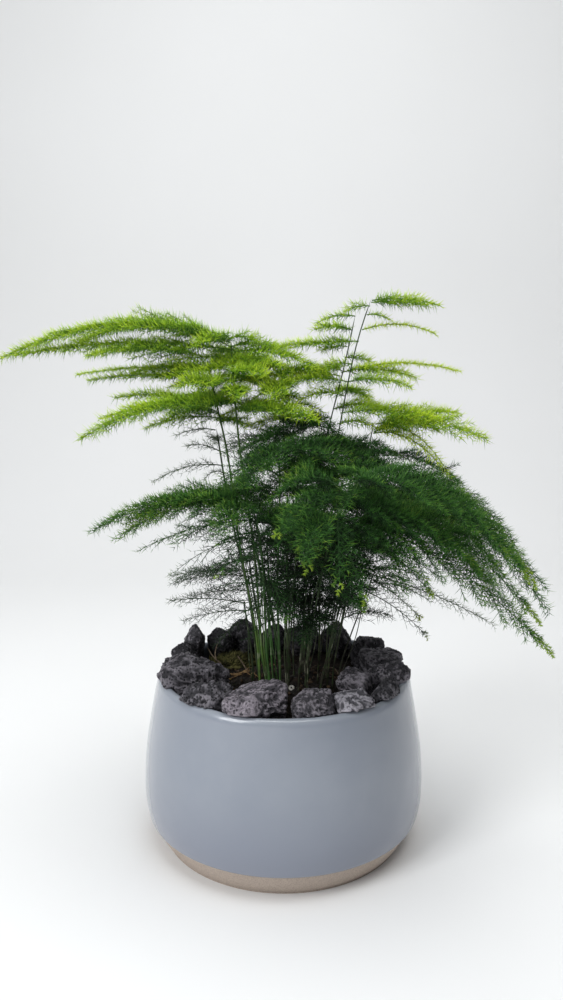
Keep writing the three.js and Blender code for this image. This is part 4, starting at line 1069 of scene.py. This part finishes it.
def twig_piece():
    """Thin woody twigs, two of them a fork, that stand out of the soil or lean on the moss."""
    lines = []
    for points in FALLEN_TWIGS:
        bent = smooth_line(points, 6)
        bent[:, 2] += soil_height(bent[0, :1], bent[0, 1:2])[0]
        lines.append(bent)
    shades = litter_material("twig_bark", (0.26, 0.20, 0.14), (0.09, 0.065, 0.045), 600.0, 0.3)
    return six_sided_canes("twigs", lines, FALLEN_TWIG_RADII, shades)


def moss_piece():
    """A low oval cushion, a ball drawn out wide, with short shoots all over that lean one way."""
    draw = np.random.default_rng(31)
    directions, cushion_faces = ball_grid(7)
    middle = np.array([*MOSS_CENTRE, SHELF + 0.5])
    uneven = (1 + 0.06 * ripples(directions, 0.5, 32))[:, None]
    cushion = middle + directions * [*MOSS_HALF, MOSS_HEIGHT] * uneven
    out = np.sqrt(draw.uniform(0, 1, MOSS_SHOOTS))
    turn = draw.uniform(0, TURN, MOSS_SHOOTS)
    dome = np.stack([out * np.cos(turn), out * np.sin(turn), np.sqrt(1 - out**2)], axis=1)
    foot = middle + dome * [*MOSS_HALF, MOSS_HEIGHT - 0.4]
    way = one_long(dome * [0.7, 0.7, 0.4] + [0.9, 0.2, 0.6] + draw.normal(0, 0.3, dome.shape))
    places, faces = needles(foot, way, draw.uniform(2.4, 6.0, MOSS_SHOOTS), MOSS_NEEDLE_RADIUS)
    faces = np.vstack([faces, in_halves(cushion_faces) + len(places)])
    shades = litter_material("moss", (0.018, 0.021, 0.008), (0.240, 0.225, 0.080), 260.0, 0.3)
    return mesh_piece("moss_patch", np.vstack([places, cushion]) * MM, faces, shades)


def crumb_piece():
    """Broken grains of bark and compost, 1 to 4 mm, scattered on the soil by a seeded draw. One in
    four lies in a heap on the right."""
    draw = np.random.default_rng(77)
    r = 62 * np.sqrt(draw.uniform(0.02, 0.62, CRUMBS))
    turn = draw.uniform(0, TURN, CRUMBS)
    x, y = r * np.cos(turn), r * np.sin(turn)
    heap = np.arange(CRUMBS) % 4 == 0
    x[heap] = 27 + 0.22 * x[heap]
    y[heap] = 12 + 0.3 * y[heap]
    size = draw.uniform(*CRUMB_SIZES, CRUMBS)
    middle = np.stack([x, y, soil_height(x, y) + 0.35 * size], axis=1)
    directions, faces = ball_grid(1)
    stretch = draw.uniform(0.55, 1.3, (CRUMBS, 1, 3)) * size[:, None, None]
    rough = draw.uniform(0.72, 1.15, (CRUMBS, len(directions), 1))
    places = middle[:, None] + directions[None] * stretch * rough
    every = faces[None] + np.arange(CRUMBS)[:, None, None] * len(directions)
    shades = litter_material("bark_crumbs", (0.012, 0.009, 0.007), (0.115, 0.075, 0.045), 330.0, 0.5)
    return mesh_piece("soil_crumbs", places.reshape(-1, 3) * MM, every.reshape(-1, 4), shades)


def perlite_piece():
    """A pale ring-shaped bead, 3.4 mm across, tilted on the soil behind the front stones."""
    around, tube = np.meshgrid(np.linspace(0, TURN, 20, endpoint=False),
                               np.linspace(0, TURN, 10, endpoint=False), indexing="ij")
    thick = BEAD_THICKNESS * (1 + 0.15 * np.sin(3 * around))
    x = BEAD[0] + (BEAD_RADIUS + thick * np.cos(tube)) * np.cos(around)
    y = BEAD[1] + (BEAD_RADIUS + thick * np.cos(tube)) * np.sin(around)
    rest = soil_height(*np.array([BEAD]).T)[0] + 0.9
    z = rest + thick * np.sin(tube) + 0.6 * np.sin(around)
    places = np.stack([x, y, z], axis=2).reshape(-1, 3)
    faces = ring_faces(20, 10, closed_rings=True)[:, ::-1]
    shades = litter_material("perlite", (0.62, 0.60, 0.55), (0.42, 0.40, 0.36), 700.0, 0.2)
    return mesh_piece("perlite_bead", places * MM, faces, shades)


for litter in (straw_piece(), twig_piece(), moss_piece(), crumb_piece(), perlite_piece()):
    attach(litter, "root")


# The studio: a pale floor that curves up into a pale wall, a large soft light from the upper left,
# one overhead, a weak one from the right, two narrow ones that show on the glaze, and the camera.
FLOOR_HALF_WIDTH = 3.0
FLOOR_FRONT = -1.6
WALL_AT = 1.1
WALL_TOP = 2.6
CURVE_RADIUS = 0.5
CAMERA_PLACE = (-1.1 * MM, -411 * MM, 238 * MM)
CAMERA_PITCH = np.radians(90 - 7.27)
CAMERA_LENS = 27.36
# A light is (name, place, point it faces, size, watts, colour).
LIGHTS = [
    ("window", (-0.86, -0.82, 0.85), (0, 0, 0.12), (0.5, 1.1), 12.1, (0.97, 0.985, 1.0)),
    ("ceiling", (0.15, -0.1, 1.5), (0, 0, 0.1), (1.2, 1.2), 18.2, (0.975, 0.99, 1.0)),
    ("fill", (1.1, -0.5, 0.5), (0, 0, 0.12), (0.3, 0.9), 0.3, (0.95, 0.95, 1.0)),
    ("casement_left", (-0.66, -0.50, 0.34), (0, 0, 0.06), (0.05, 0.55), 0.22, (0.97, 0.985, 1.0)),
    ("casement_right", (-0.56, -0.62, 0.34), (0, 0, 0.06), (0.03, 0.55), 0.14, (0.97, 0.985, 1.0)),
]
ROOM_COLOUR = (0.93, 0.95, 1.0, 1)
ROOM_STRENGTH = 0.22


def backdrop():
    """A floor line, a quarter circle and a wall line, carried straight from left to right."""
    bend = np.linspace(0, np.pi / 2, 24)
    away = np.array([FLOOR_FRONT, *(WALL_AT - CURVE_RADIUS + CURVE_RADIUS * np.sin(bend)), WALL_AT])
    up = np.array([0, *(CURVE_RADIUS * (1 - np.cos(bend))), WALL_TOP])
    x, y = np.meshgrid([-FLOOR_HALF_WIDTH, FLOOR_HALF_WIDTH], away)
    places = np.stack([x.ravel(), y.ravel(), np.repeat(up, 2)], axis=1)
    k = np.arange(len(up) - 1) * 2
    faces = np.stack([k, k + 1, k + 3, k + 2], axis=1)
    finish = Finish("studio_paper", Specular_IOR_Level=0.15)
    paper = finish.colour(finish.noise(3.0, 2.0), (0.80, 0.80, 0.79), (0.84, 0.84, 0.835))
    paper = finish.set(Base_Color=paper, Roughness=finish.noise(5.0) * 0.1 + 0.7)
    return mesh_piece("backdrop", places, faces, paper)


backdrop()


def soft_light(name, place, aim, size, watts, colour):
    """A rectangle of light whose face is turned, by yaw and then pitch, to look at `aim`."""
    lamp = bpy.data.lights.new(name, "AREA")
    lamp.shape = "RECTANGLE"
    lamp.size, lamp.size_y = size
    lamp.energy = watts
    lamp.color = colour
    holder = bpy.data.objects.new(name, lamp)
    away = np.array(place) - np.array(aim)
    yaw = np.arctan2(away[0], -away[1])
    pitch = np.arctan2(np.hypot(away[0], away[1]), away[2])
    holder.location = place
    holder.rotation_euler = (pitch, 0, yaw)
    bpy.context.collection.objects.link(holder)


for light in LIGHTS:
    soft_light(*light)

world = bpy.data.worlds.new("room")
world.use_nodes = True
world.node_tree.nodes["Background"].inputs["Color"].default_value = ROOM_COLOUR
world.node_tree.nodes["Background"].inputs["Strength"].default_value = ROOM_STRENGTH
bpy.context.scene.world = world
bpy.context.scene.view_settings.view_transform = "Standard"

lens = bpy.data.cameras.new("viewer")
lens.lens = CAMERA_LENS
lens.sensor_width = 36
lens.clip_start = 0.01
viewer = bpy.data.objects.new("viewer", lens)
viewer.location = CAMERA_PLACE
viewer.rotation_euler = (CAMERA_PITCH, 0, 0)
bpy.context.collection.objects.link(viewer)
bpy.context.scene.camera = viewer
